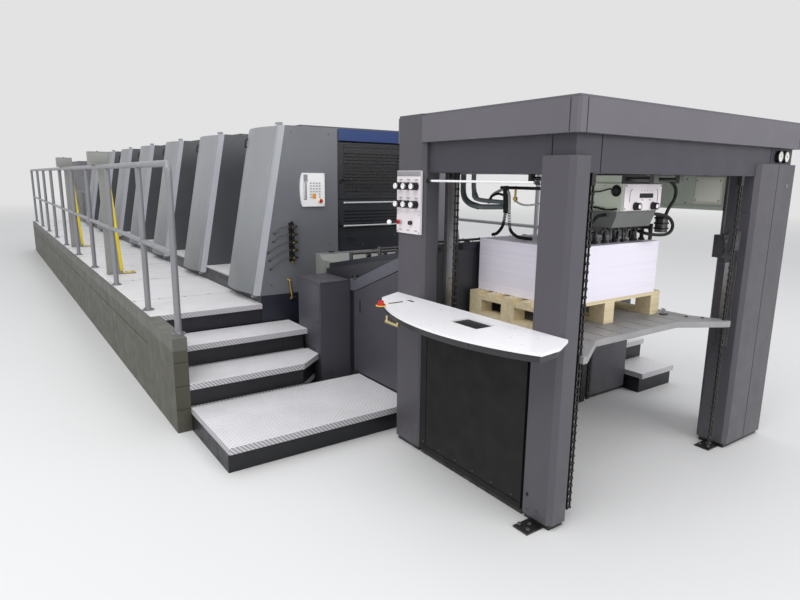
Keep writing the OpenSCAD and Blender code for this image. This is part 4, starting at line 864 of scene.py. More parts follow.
class PRESS_OT_stage(Builder):
    """Sets up the camera, the floor, the lights and the even sky."""

    bl_idname = "press.stage"
    bl_label = "Stage"

    def build(self, context):
        studio = settings("studio")
        plain = tuple(settings("colours").floor) + (1,)
        stage = [self.floor(context, studio.floor_size / 2, plain)]
        lights = [
            ("key", (-6, -8, 8), (0, -2, 0.8), 8, 6, studio.key_power),
            ("front", (2, -15, 5), (0, -6, 0.9), 7, 4, studio.fill_power),
            ("over", (0, 1, 11), (0, 1, 0), 8, 18, studio.fill_power * 0.8),
        ]
        for name, place, target, wide, deep, power in lights:
            lamp = bpy.data.lights.new("studio_" + name, "AREA")
            lamp.shape, lamp.size, lamp.size_y, lamp.energy = "RECTANGLE", wide, deep, power
            held = bpy.data.objects.new("studio_" + name, lamp)
            held.location = place
            held.rotation_euler = (Vector(target) - Vector(place)).to_track_quat("-Z", "Y").to_euler()
            context.scene.collection.objects.link(held)
            stage.append(held)
        self.sky(context, studio.sky, plain)
        self.camera(context, studio.lens)
        context.scene.view_settings.view_transform = "Standard"

    def floor(self, context, half, plain):
        """A plain floor that runs into the backdrop's colour far from the press, so that no horizon is seen."""
        data = bpy.data.meshes.new("studio_floor")
        corners = [(-half, -half, 0), (half, -half, 0), (half, half, 0), (-half, half, 0)]
        data.from_pydata(corners, [], [(0, 1, 2, 3)])
        floor = bpy.data.objects.new("studio_floor", data)
        context.scene.collection.objects.link(floor)
        surface = Finish("studio_floor")
        surface.done(surface.tones(plain, 0.01, 0.4), 0.6, Specular_IOR_Level=0.2)
        glow = surface.node("ShaderNodeEmission")
        glow.inputs["Color"].default_value = plain
        away = surface.spread(surface.vectors("LENGTH", surface.coords), 11, 30)
        mix = surface.filled(
            surface.node("ShaderNodeMixShader"), away, surface.shader.outputs[0], glow.outputs[0])
        surface.put(surface.tree.nodes["Material Output"].inputs["Surface"], mix.outputs[0])
        data.materials.append(surface.material)
        return floor

    def sky(self, context, strength, plain):
        """Even light from all round, seen by the camera and in reflections as the plain backdrop."""
        world = bpy.data.worlds.new("studio_sky")
        world.use_nodes = True
        tree = world.node_tree
        light = tree.nodes["Background"]
        light.inputs["Color"].default_value = (0.93, 0.94, 0.96, 1)
        light.inputs["Strength"].default_value = strength
        backdrop = tree.nodes.new("ShaderNodeBackground")
        backdrop.inputs["Color"].default_value = plain
        rays = tree.nodes.new("ShaderNodeLightPath").outputs
        seen = rays["Is Camera Ray"]
        for kind in ("Is Glossy Ray", "Is Transmission Ray"):
            most = tree.nodes.new("ShaderNodeMath")
            most.operation = "MAXIMUM"
            tree.links.new(seen, most.inputs[0])
            tree.links.new(rays[kind], most.inputs[1])
            seen = most.outputs[0]
        mix = tree.nodes.new("ShaderNodeMixShader")
        for socket, value in zip(mix.inputs, (seen, light.outputs[0], backdrop.outputs[0])):
            tree.links.new(value, socket)
        tree.links.new(mix.outputs[0], tree.nodes["World Output"].inputs["Surface"])
        context.scene.world = world

    def camera(self, context, lens):
        """The photograph's view: eye height in front of the feeder, looking along the operator side."""
        data = bpy.data.cameras.new("photo_camera")
        data.sensor_width, data.lens, data.clip_start, data.clip_end = 36, lens, 0.05, 300
        heading, pitch, roll = math.radians(35), math.radians(11.6), math.radians(0.65)
        level = Vector((math.sin(heading), math.cos(heading), 0))
        forward = level * math.cos(pitch) + Vector((0, 0, -math.sin(pitch)))
        right = Vector((math.cos(heading), -math.sin(heading), 0))
        tilted_right = right * math.cos(roll) + right.cross(forward) * math.sin(roll)
        tilted_up = tilted_right.cross(forward)
        camera = bpy.data.objects.new("photo_camera", data)
        turn = Matrix((tilted_right, tilted_up, -forward)).transposed()
        camera.matrix_world = Matrix.Translation((-2.80, -9.335, 1.61)) @ turn.to_4x4()
        context.scene.collection.objects.link(camera)
        context.scene.camera = camera


class PRESS_OT_gantry_trim(Builder):
    """Gauge dials, lock, foot bolts, light bar ends and small screws of the feeder gantry."""

    bl_idname = "press.gantry_trim"
    bl_label = "Gantry trim"

    def build(self, context):
        self.dials()
        lock_x, lock_y, lock_z = 1134, 14, 1588
        lock = Shape()
        lock.rod((lock_x, lock_y + 1, lock_z), (lock_x, lock_y - 2, lock_z), 10, "bright_steel", chamfer=0.8)
        lock.box((lock_x - 1.4, lock_y - 3, lock_z - 6), (lock_x + 1.4, lock_y - 1.6, lock_z + 6), "black_plastic")
        lock.finish("gantry_lock")

        feet = [(x, y, 13) for x in (-872, 708) for y in (78, 132)] + [(x, 105, 13) for x in (-832, 748)]
        screws("foot_bolts", "dull_steel", UP, feet, 10, 10, sides=6)
        slot = Shape()
        slot.tube([(-800.4, 158, 128), (-800.4, 158, 142)], 6, "black_rubber", sides=14)
        slot.finish("pillar_lift_slot")
        small = [(-800.5, 159, 56), (-800.5, 97, 76)]
        small += [(799.6, y, z) for y in (440, 620, 800, 960) for z in (1478, 1622)]
        screws("panel_screws", "dull_steel", OPERATOR_WAY, small, 5, 4, sides=8)

        caps = Shape()
        bar_x, bar_z = -774, 1596
        for y0, y1 in ((204.5, 236), (993, 1024.5)):
            caps.rod((bar_x, y0, bar_z), (bar_x, y1, bar_z), 10.5, "black_plastic", chamfer=2)
        for y in (236, 983):
            caps.rod((bar_x, y, bar_z), (bar_x, y + 10, bar_z), 7.5, "bright_steel")
        caps.finish("light_bar_ends")

        plate = Shape()
        plate.box((794.8, 226, 1490), (796.4, 380, 1622), "bare_plate", round_by=0.6)
        for z in (1497, 1615):
            for y in (233, 373):
                plate.rod((795.5, y, z), (793.2, y, z), 4, "dull_steel", sides=12)
        plate.finish("bare_plate")

    def dials(self):
        """Two dials with a black rim, nine marks and a needle each."""
        header_y, face_y, z, r = 36, 20, 1754, 34
        rim = [(-1, r), (19, r), (21, r - 2), (21, r - 4), (17.5, r - 5)]
        made = Shape()

        def laid(x, y, angle, outline, depth):
            along, across = around((0, 0, 0), 1, angle, "Y"), around((0, 0, 0), 1, angle + math.pi / 2, "Y")
            made.slab([Vector((x, y, z)) + along * u + across * v for u, v in outline], (0, -depth, 0), "black_plastic")

        for x, turn in ((1016, 0.6), (1094, -0.9)):
            made.turned((x, header_y, z), FORWARD, rim, "black_plastic", 36)
            made.rod((x, face_y - 1, z), (x, face_y - 2.4, z), r - 5.2, "gauge_face", 32)
            for k in range(9):
                mark = ((19, -0.7), (25, -0.7), (25, 0.7), (19, 0.7))
                laid(x, face_y - 2.5, math.radians(225 - 33.75 * k), mark, 0.5)
            laid(x, face_y - 3, math.pi / 2 - turn, ((-7, -1.6), (-7, 1.6), (20, 0)), 0.6)
            made.rod((x, face_y - 3, z), (x, face_y - 4.4, z), 3, "black_plastic")
        made.finish("gauge_dials")


class PRESS_OT_console_trim(Builder):
    """Caps, lever, switch, marks and screws of the console and its desk."""

    bl_idname = "press.console_trim"
    bl_label = "Console trim"

    def build(self, context):
        panel_x = -814
        columns = [1033 + (k + 0.5) * 75 for k in range(3)]
        places = [(y, z) for y in columns for z in (1565, 1465)]
        knobs = Shape()
        for y, z in places:
            knobs.rod((panel_x, y, z), (panel_x - 5, y, z), 22, "black_plastic", 28, 1)
            knobs.rod((panel_x - 30, y, z), (panel_x - 44.5, y, z), 16, "white_plastic", 24, 2)
            knobs.box((panel_x - 45.2, y - 1.2, z), (panel_x - 43.6, y + 1.2, z + 14), "black_plastic")
        knobs.finish("console_knob_caps")
        grips = [p for y, z in places for p in circle((panel_x - 16, y, z), 18.6, 12, "X")]
        screws("console_knob_grips", "black_plastic", OPERATOR_WAY, grips, 2.4, 24, sides=6)

        lever_y, lever_z, switch_y = 1218, 1362, 1115.5
        collar = [(-1, 13), (5, 13), (8, 9), (14, 8)]
        lever = Shape()
        lever.ball((panel_x - 80, lever_y, lever_z), 14, "white_plastic")
        lever.turned((panel_x, lever_y, lever_z), OPERATOR_WAY, collar, "bright_steel")
        lever.rod((panel_x - 13, switch_y, lever_z), (panel_x - 16, switch_y, lever_z), 9, "dull_steel", chamfer=1)
        lever.box((-837, switch_y - 3, 1352), (-829, switch_y + 3, 1372), "black_plastic", round_by=1.5)
        lever.rod((panel_x - 13, lever_y, lever_z), (panel_x - 26, lever_y, lever_z), 13, "red_plastic", chamfer=2)
        lever.finish("console_lever")

        face = Shape()
        face.box((panel_x - 1, 1034, 1619), (panel_x + 1, 1257, 1648), "grey_strip", round_by=0.4)
        for y in columns:
            for z in (1598, 1498, 1316):
                face.box((panel_x - 0.8, y - 14, z), (panel_x + 1, y + 14, z + 5), "grey_strip")
        face.finish("console_face_marks")
        dots = [around((panel_x - 0.3, y, z), 29, math.radians(40 * n - 30), "X") for y, z in places for n in range(7)]
        screws("console_scale_dots", "black_plastic", OPERATOR_WAY, dots, 1.6, 1.2, sides=6)
        corners = [(panel_x - 0.8, y, z) for y in (1041, 1250) for z in (1308, 1410, 1430)]
        screws("console_screws", "bright_steel", OPERATOR_WAY, corners, 4, 3, sides=10)

        desk = Shape()
        button_rim = [(-1, 28), (2.5, 28), (3.5, 27), (3.5, 22), (1, 21.6)]
        desk.turned((-1100, 985, DESK_Z - 1), UP, button_rim, "yellow_paint", 32)
        desk.box((-902, 974, DESK_Z - 2), (-884, 1024, DESK_Z), "black_plastic", round_by=0.6)
        desk.box((-1008, 332, 931), (-892, 518, 933.5), "black_rubber", round_by=0.8)
        desk.finish("desk_panel")
        edge = [(-796.3, y, 872) for y in range(300, 1000, 160)] + [(-796.5, y, 84) for y in range(260, 1000, 145)]
        screws("desk_apron_screws", "dull_steel", OPERATOR_WAY, edge, 5, 4, sides=8)


class PRESS_OT_head_trim(Builder):
    """Fan grille, display, marks, knob caps, nozzles, hoses and clamps of the suction head."""

    bl_idname = "press.head_trim"
    bl_label = "Suction head trim"

    face_x, front_y = -160, 211

    def build(self, context):
        self.fan()
        self.case_front()
        self.side_lines()
        self.suckers_and_nozzles()
        self.hoses()
        self.rear_lines()

    def fan(self):
        x, y, z = self.face_x, 259, CASE_TOP_Z - 36
        fan = Shape()
        fan.rod((x + 7.6, y, z), (x + 6, y, z), 28.6, "black_plastic", 32)
        for radius in (10, 16, 22, 28):
            fan.ring((x - 1.5, y, z), (1, 0, 0), radius, 1.3, "black_plastic", 32, 6)
        for hub, tip in zip(circle((x - 1.5, y, z), 4, 6, "X"), circle((x - 1.5, y, z), 28, 6, "X")):
            fan.rod(hub, tip, 1.3, "black_plastic", 8)
        for k in range(5):
            turn = math.tau * k / 5
            corners = ((5, 9, -0.25), (5, 26, -0.1), (2, 26, 0.45), (2, 9, 0.4))
            blade = [around((x + dx, y, z), r, turn + twist, "X") for dx, r, twist in corners]
            fan.slab(blade, (0.8, 0, 0), "black_steel")
        fan.rod((x + 7, y, z), (x - 5, y, z), 15.4, "black_plastic", 28, 1.5)
        fan.finish("head_fan", "head")

    def case_front(self):
        front, top, knob_z = self.front_y, CASE_TOP_Z, CASE_Z + 24
        face = Shape()
        face.box((-29, front + 2, top - 71.5), (89, front + 2.9, top - 48.5), "black_glass")
        for k in range(5):
            x = -18 + 24.4 * k
            face.box((x - 10, front - 1, top - 69), (x + 10, front + 2.4, top - 51), "black_plastic", round_by=2)
            face.box((x - 1, front - 0.5, top - 38), (x + 1, front + 0.5, top - 31), "dark_panel")
        for x, lean in ((-112, 14), (128, -14)):
            y = front - 0.2
            face.tube([(x, y, top - 92), (x, y, top - 44), (x + lean, y, top - 26)], 1.6, "dark_panel", 6, 3)
        for x in (-14, 52):
            face.box((x, front - 0.6, CASE_Z + 54), (x + 20, front + 0.5, CASE_Z + 57), "dark_panel")
        face.finish("head_face_marks", "head")

        knobs = Shape()
        knob = [(-1, 21), (5, 21), (7, 18.5), (22, 17.2), (27, 16.4), (28, 15)]
        grips = []
        for x in (-61, 91):
            knobs.turned((x, front, knob_z), FORWARD, knob, "black_plastic", 32)
            knobs.rod((x, front - 27.5, knob_z), (x, front - 29, knob_z), 11.5, "white_plastic", 24, 0.8)
            knobs.box((x - 1, front - 29.6, knob_z), (x + 1, front - 28.6, knob_z + 10), "black_plastic")
            grips += circle((x, front - 14, knob_z), 17.4, 18, "Y")
        knobs.finish("head_knob_caps", "head")
        screws("head_knob_grips", "black_plastic", FORWARD, grips, 1.7, 16, sides=6, body="head")
        heights = (CASE_Z + 13, CASE_TOP_Z - 11)
        held = [(x, front - 0.8, z) for x in (-148, 152) for z in heights]
        held += [(self.face_x - 0.8, y, z) for y in (330, 500) for z in heights]
        ways = [FORWARD] * 4 + [OPERATOR_WAY] * 4
        screws("head_case_screws", "bright_steel", ways, held, 4, 3, sides=10, body="head")

    def side_lines(self):
        x, low, top = self.face_x, CASE_Z, CASE_TOP_Z
        lines = Shape()
        lines.tube([(x - 3, 502, low + 8), (x - 11, 470, low + 5), (x - 9, 380, low + 14), (x - 9, 300, low + 4),
                    (x - 2, 246, low + 12)], 4.5, "black_rubber")
        lines.tube([(x - 2, 500, top - 14), (x - 12, 450, top - 34), (x - 8, 370, top - 44), (x - 3, 300, top - 28),
                    (x - 2, 288, top - 28)], 3.6, "black_rubber")
        lines.finish("head_side_lines", "head")

    def suckers_and_nozzles(self):
        bar_y, bar_x = 381, 340
        tools = Shape()
        for x in (-286, -171.6, -57.2, 57.2, 171.6, 298):
            bend = ((2, 1358), (-14, 1356), (-30, 1340), (-36, 1312), (-37, 1294))
            tools.tube([(x, bar_y + dy, z) for dy, z in bend], 4.6, "dull_steel", 10, 4)
            tools.rod((x, bar_y - 37, 1296), (x, bar_y - 37, 1284), 6.4, "black_rubber", 14, 1)
            tools.box((x - 16, bar_y - 6, 1345), (x + 16, bar_y + 1, 1368), "dull_steel", round_by=1.5)
        for x in range(-312, 300, 114):
            tools.box((x - 7, bar_y - 10, 1330), (x + 7, bar_y + 1, 1344), "bright_steel", round_by=1)
            tools.box((x - 3, bar_y - 22, 1296), (x + 3, bar_y - 8, 1340), "black_plastic", round_by=1)
        for x in (-bar_x, bar_x - 6):
            tools.box((x, bar_y - 5, 1338), (x + 6, bar_y + 29, 1376), "bright_steel", round_by=1)
        tools.finish("head_blast_nozzles", "head")
        cup = [(0.2, 15), (0, 17.6), (3, 18.4), (8, 13.5), (10, 16.4), (13, 15.6), (16, 11.6)]
        rims = Shape()
        for x in (42.5 + 85 * k for k in range(-4, 4)):
            rims.turned((x, 393, 1276), UP, cup, "black_rubber", 20)
            rims.rod((x, 393, 1291), (x, 393, 1342.5), 8.2, "bright_steel", 14)
            rims.rod((x, 393, 1312), (x, 393, 1334), 12.2, "dull_steel", 6)
        rims.finish("sucker_rims", "head")

    def hoses(self):
        hose = Shape()
        for place in ((151, 271, 1608), (151, 271, 1432), (151, 393, 1429)):
            hose.turned(place, (1, 0, 0), [(-1.5, 11), (12, 11), (14, 10)], "dull_steel", 6)
        hose.turned((206, 393, 1374), UP, [(-1.5, 11), (11, 11), (13, 10)], "dull_steel", 6)
        loops = (
            (6, 10, [(152, 330, 1486), (196, 326, 1478), (214, 322, 1440), (206, 330, 1400), (190, 372, 1382),
                     (188, 392, 1372)]),
            (5, 10, [(152, 300, 1520), (186, 296, 1500), (196, 300, 1452), (184, 306, 1404), (152, 310, 1392)]),
            (9, 12, [(148, 262, 1612), (215, 250, 1612), (300, 246, 1604), (352, 246, 1566), (350, 246, 1514),
                     (306, 248, 1462), (292, 262, 1410), (296, 300, 1372)]),
            (9, 12, [(149, 262, 1436), (214, 250, 1432), (306, 246, 1414), (356, 246, 1374), (350, 250, 1334),
                     (300, 262, 1316), (212, 300, 1322), (206, 384, 1340)]),
        )
        for radius, sides, path in loops:
            hose.tube(path, radius, "black_rubber", sides)
        hose.box((150.5, 470, 1480), (172, 500, 1530), "black_plastic", round_by=3)
        hose.box((268, 250, 1330), (318, 300, 1424), "dull_steel", round_by=4)
        for z in (1352, 1380, 1408):
            hose.box((264, 246, z - 5), (322, 304, z + 5), "black_plastic", round_by=2)
        hose.finish("head_hose_ends", "head")

        ribbed = [(-174, 300, 1436), (-232, 306, 1428), (-262, 318, 1392), (-262, 352, 1372)]
        beads("head_ribbed_hose", "black_rubber", ribbed + [(-262, 380, 1362)], 5.5, 8.5, 3.2, body="head")
        core = Shape()
        core.tube(ribbed + [(-262, 384, 1362)], 6, "black_rubber")
        core.finish("head_ribbed_hose_core", "head")

    def rear_lines(self):
        """Air lines behind the case on the operator side, hung from an arm of the head."""
        arm_x, duct_x = -330, -470

        def level(x, *places):
            """Points of a line that keeps one distance from the press's middle."""
            return [(x, y, z) for y, z in places]

        arm = Shape()
        arm.tube([(-150, 505, 1560), (-260, 530, 1562)] + level(arm_x, (610, 1562), (760, 1562), (905, 1562)),
                 9, "black_steel", 12)
        arm.rod((arm_x, 867, 1572), (arm_x, 856, 1418), 17, "black_rubber", 18, 4)
        for z in (1440, 1480, 1520):
            arm.rod((arm_x, 862, z), (arm_x, 862, z + 10), 20, "black_plastic", 18, 2)
        arm.tube(level(arm_x, (993, 1470), (980, 1512), (928, 1540), (872, 1552), (842, 1530), (834, 1480),
                       (832, 1417)), 8, "clear_hose", 12)
        arm.tube(level(arm_x - 14, (993, 1470), (968, 1508), (916, 1526), (868, 1520)), 7, "black_rubber", 12)
        arm.rod((arm_x, 790, 1572), (arm_x, 790, 1488), 6, "brass", 14, 1)
        nozzle = [(0, 6), (2, 13), (16, 13), (20, 7), (30, 5)]
        arm.turned((arm_x, 790, 1512), DOWN, nozzle, "brass", 6)
        arm.tube(level(arm_x, (790, 1500), (760, 1478), (690, 1470)) + [(arm_x + 60, 610, 1486), (-156, 522, 1500)],
                 5, "clear_hose", 10)
        duct_1 = ((1070, 1519), (1020, 1473), (940, 1455))
        duct_2 = ((981, 1547), (953, 1497))
        arm.tube(level(duct_x, (1076, 1634), *duct_1) + [(arm_x - 16, 872, 1454)], 15, "grey_duct", 16)
        arm.tube(level(duct_x, (986, 1634), *duct_2) + [(arm_x - 16, 868, 1480)], 12, "grey_duct", 16)
        arm.finish("head_rear_lines", "head")
        bellows_1 = level(arm_x, (862, 1420), (879, 1346), (921, 1300), (958, 1288))
        bellows_2 = level(arm_x, (832, 1417), (819, 1331), (773, 1296), (724, 1288), (656, 1288))
        beads("head_rear_bellows_1", "black_rubber", bellows_1, 9, 9.5, 5, body="head")
        beads("head_rear_bellows_2", "black_rubber", bellows_2, 9, 9.5, 5, body="head")
        beads("head_duct_ribs_1", "grey_duct", level(duct_x, (1076, 1632), *duct_1), 12, 18, 5, body="head")
        beads("head_duct_ribs_2", "grey_duct", level(duct_x, (986, 1632), *duct_2), 12, 15, 5, body="head")


class PRESS_OT_pile_trim(Builder):
    """Nails of the pallet, and stops, bolts and seams of the platform."""

    bl_idname = "press.pile_trim"
    bl_label = "Pile trim"

    def build(self, context):
        pallet_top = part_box("pallet")[1][2] * 1000 + 0.4
        nails = [(side * 435 + dx, 355 + 135 * k + dy, pallet_top)
                 for side in SIDES for k in range(5) for dx in (-18, 18) for dy in (22, 58)]
        screws("pallet_nails", "dull_steel", UP, nails, 3.5, 1.6, sides=10, body="pile")
        top = 830
        places = ((570, 130), (520, 200), (560, 700), (560, 460), (560, 900))
        bolts = [(side * x, y, top + 3) for side in SIDES for x, y in places]
        screws("platform_bolts", "dull_steel", UP, bolts, 9, 7, sides=6, body="pile")
        stops = Shape()
        for side in SIDES:
            x = side * 470
            stops.box((x - 22, 296, top - 1), (x + 22, 330, top + 9), "dull_steel", round_by=2)
            stops.rod((x - 8, 312, top + 8), (x - 8, 312, top + 40), 5, "bright_steel", 12, 1)
            stops.rod((x + 10, 316, top + 8), (x + 10, 316, top + 26), 5, "bright_steel", 12, 1)
            stops.rod((x - 8, 300, top + 34), (x - 8, 326, top + 34), 3, "bright_steel", 10)
        stops.finish("platform_stops", "pile")
        grooves = Shape()
        for x in range(-520, 521, 130):
            grooves.box((x - 1.5, 170, top - 0.4), (x + 1.5, 340, top + 0.5), "black_steel")
        grooves.finish("platform_seams", "pile")


class PRESS_OT_lift_trim(Builder):
    """Counterweight beads above the height sensor, its cover and cable, and bolts along the chain guides."""

    bl_idname = "press.lift_trim"
    bl_label = "Pile lift trim"

    def build(self, context):
        x, y = 627, 99
        beads("sensor_beads", "dull_steel", [(x, y, 1316), (x, y, 1639)], 8.5, 3.6, 5.5)
        strand = Shape()
        strand.rod((x, y, 1312), (x, y, 1640), 1.3, "dull_steel", 8)
        strand.rod((x, y, 1312), (x, y, 1324), 8, "black_plastic", 16, 2)
        strand.box((604, 75.5, 1200), (651, 79, 1300), "black_plastic", round_by=2)
        strand.box((612, 74.4, 1272), (643, 76.2, 1288), "dark_panel", round_by=0.6)
        strand.rod((628, 79, 1228), (628, 71, 1228), 11, "black_plastic", 24, 1.5)
        cable = [(655, 120, 1250), (676, 124, 1240), (700, 126, 1262), (715, 124, 1310), (726, 112, 1332)]
        strand.tube(cable, 3.4, "black_rubber")
        strand.finish("sensor_details")
        guide = [(side * 640, 968.8, z) for side in SIDES for z in range(150, 1600, 180)]
        screws("guide_bolts", "dull_steel", FORWARD, guide, 5, 3.4, sides=6)
        tape = Shape()
        tape.box((-666.4, 62, 1030), (-665.2, 84, 1600), "pale_mark")
        tape.finish("guide_scale")


class PRESS_OT_infeed_trim(Builder):
    """Door latch, clamp, conveyor belts and hold-down rollers of the feed table, and the cabinet's door."""

    bl_idname = "press.infeed_trim"
    bl_label = "Infeed trim"

    def build(self, context):
        latch = Shape()
        latch.box((-581, 2046, 626), (-577, 2075, 736), "dark_panel", round_by=1.5)
        latch.box((-582, 2053, 634), (-579, 2068, 728), "black_plastic", round_by=1)
        latch.finish("door_latch", "door")
        held = [(-580.6, y, z) for y, z in ((1350, 230), (1350, 900), (2110, 230), (2110, 700), (1730, 230))]
        screws("door_screws", "dull_steel", OPERATOR_WAY, held, 5, 3, sides=10, body="door")

        clamp = Shape()
        clamp.box((-584, 2112, 868), (-556, 2160, 880), "dull_steel", round_by=2)
        clamp.rod((-580, 2135, 880), (-580, 2135, 902), 7, "dull_steel", 14, 1)
        clamp.rod((-606, 2135, 896), (-556, 2135, 896), 5, "black_plastic", 14, 1.5)
        clamp.ball((-606, 2135, 896), 8, "black_plastic")
        clamp.finish("side_clamp")
        self.table()
        self.cabinet()

    def table(self):
        low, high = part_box("feed_table")
        y0, y1 = (low[1] - FRONT_Y) * 1000, (high[1] - FRONT_Y) * 1000
        z0, z1 = high[2] * 1000, 925.0
        lanes = range(-375, 376, 150)

        def height(y):
            return z0 + (z1 - z0) * (y - y0) / (y1 - y0)

        belts = Shape()
        ends = [(y0 + 40, -1), (y1 - 40, -1), (y1 - 40, 2.5), (y0 + 40, 2.5)]
        for x in lanes:
            belts.slab([(x - 22, y, height(y) + dz) for y, dz in ends], (44, 0, 0), "black_rubber")
        belts.finish("feed_belts")
        rollers = Shape()
        arm = ((-30, -22), (-22, -22), (12, 6), (2, 14))
        for y in (1500, 1900, 2300):
            z = height(y) + 46
            rollers.rod((-512, y, z), (512, y, z), 9, "dull_steel", 18, 1)
            for x in (-516, 516):
                rollers.box((x - 8, y - 16, height(y) - 2), (x + 8, y + 16, z + 14), "dark_panel", round_by=2)
            for x in lanes:
                rollers.rod((x - 10, y - 26, z - 17), (x + 10, y - 26, z - 17), 25, "black_rubber", 24, 3)
                rollers.rod((x - 12, y - 26, z - 17), (x + 12, y - 26, z - 17), 9, "dull_steel", 16, 1)
                rollers.slab([(x - 15, y + dy, z + dz) for dy, dz in arm], (4, 0, 0), "dull_steel")
        rollers.finish("hold_down_rollers")

    def cabinet(self):
        x0, y_low, y_high, top = -830, 2210, 2580, 853
        door = Shape()
        door.box((x0 - 3, y_low - 3, top - 5), (-580.5, y_high + 3, top + 4), "dark_panel", round_by=1.5)
        door.box((x0 - 3, y_low + 16, 150), (x0 + 1, y_high - 16, top - 30), "dark_panel", round_by=1.5)
        door.rod((x0 - 3, y_low + 40, 560), (x0 - 8, y_low + 40, 560), 11, "dull_steel", 20, 1)
        door.box((x0 - 9, y_low + 38, 553), (x0 - 7.6, y_low + 42, 567), "black_plastic")
        door.finish("cabinet_door")
        bars("cabinet_vents", "black_plastic", (x0 - 3.4, 2395, 220), (0, 0, 16), (2.4, 200, 6), 8)
        corners = [(x, y, top + 4.6) for x in (-812, -606) for y in (2228, 2562)]
        screws("cabinet_screws", "dull_steel", UP, corners, 5, 3, sides=10)


def cover_edge(z):
    """Half width of a unit over its leaning covers at a height."""
    return 1090.0 - 250.0 * (z - 680.0) / 1320.0


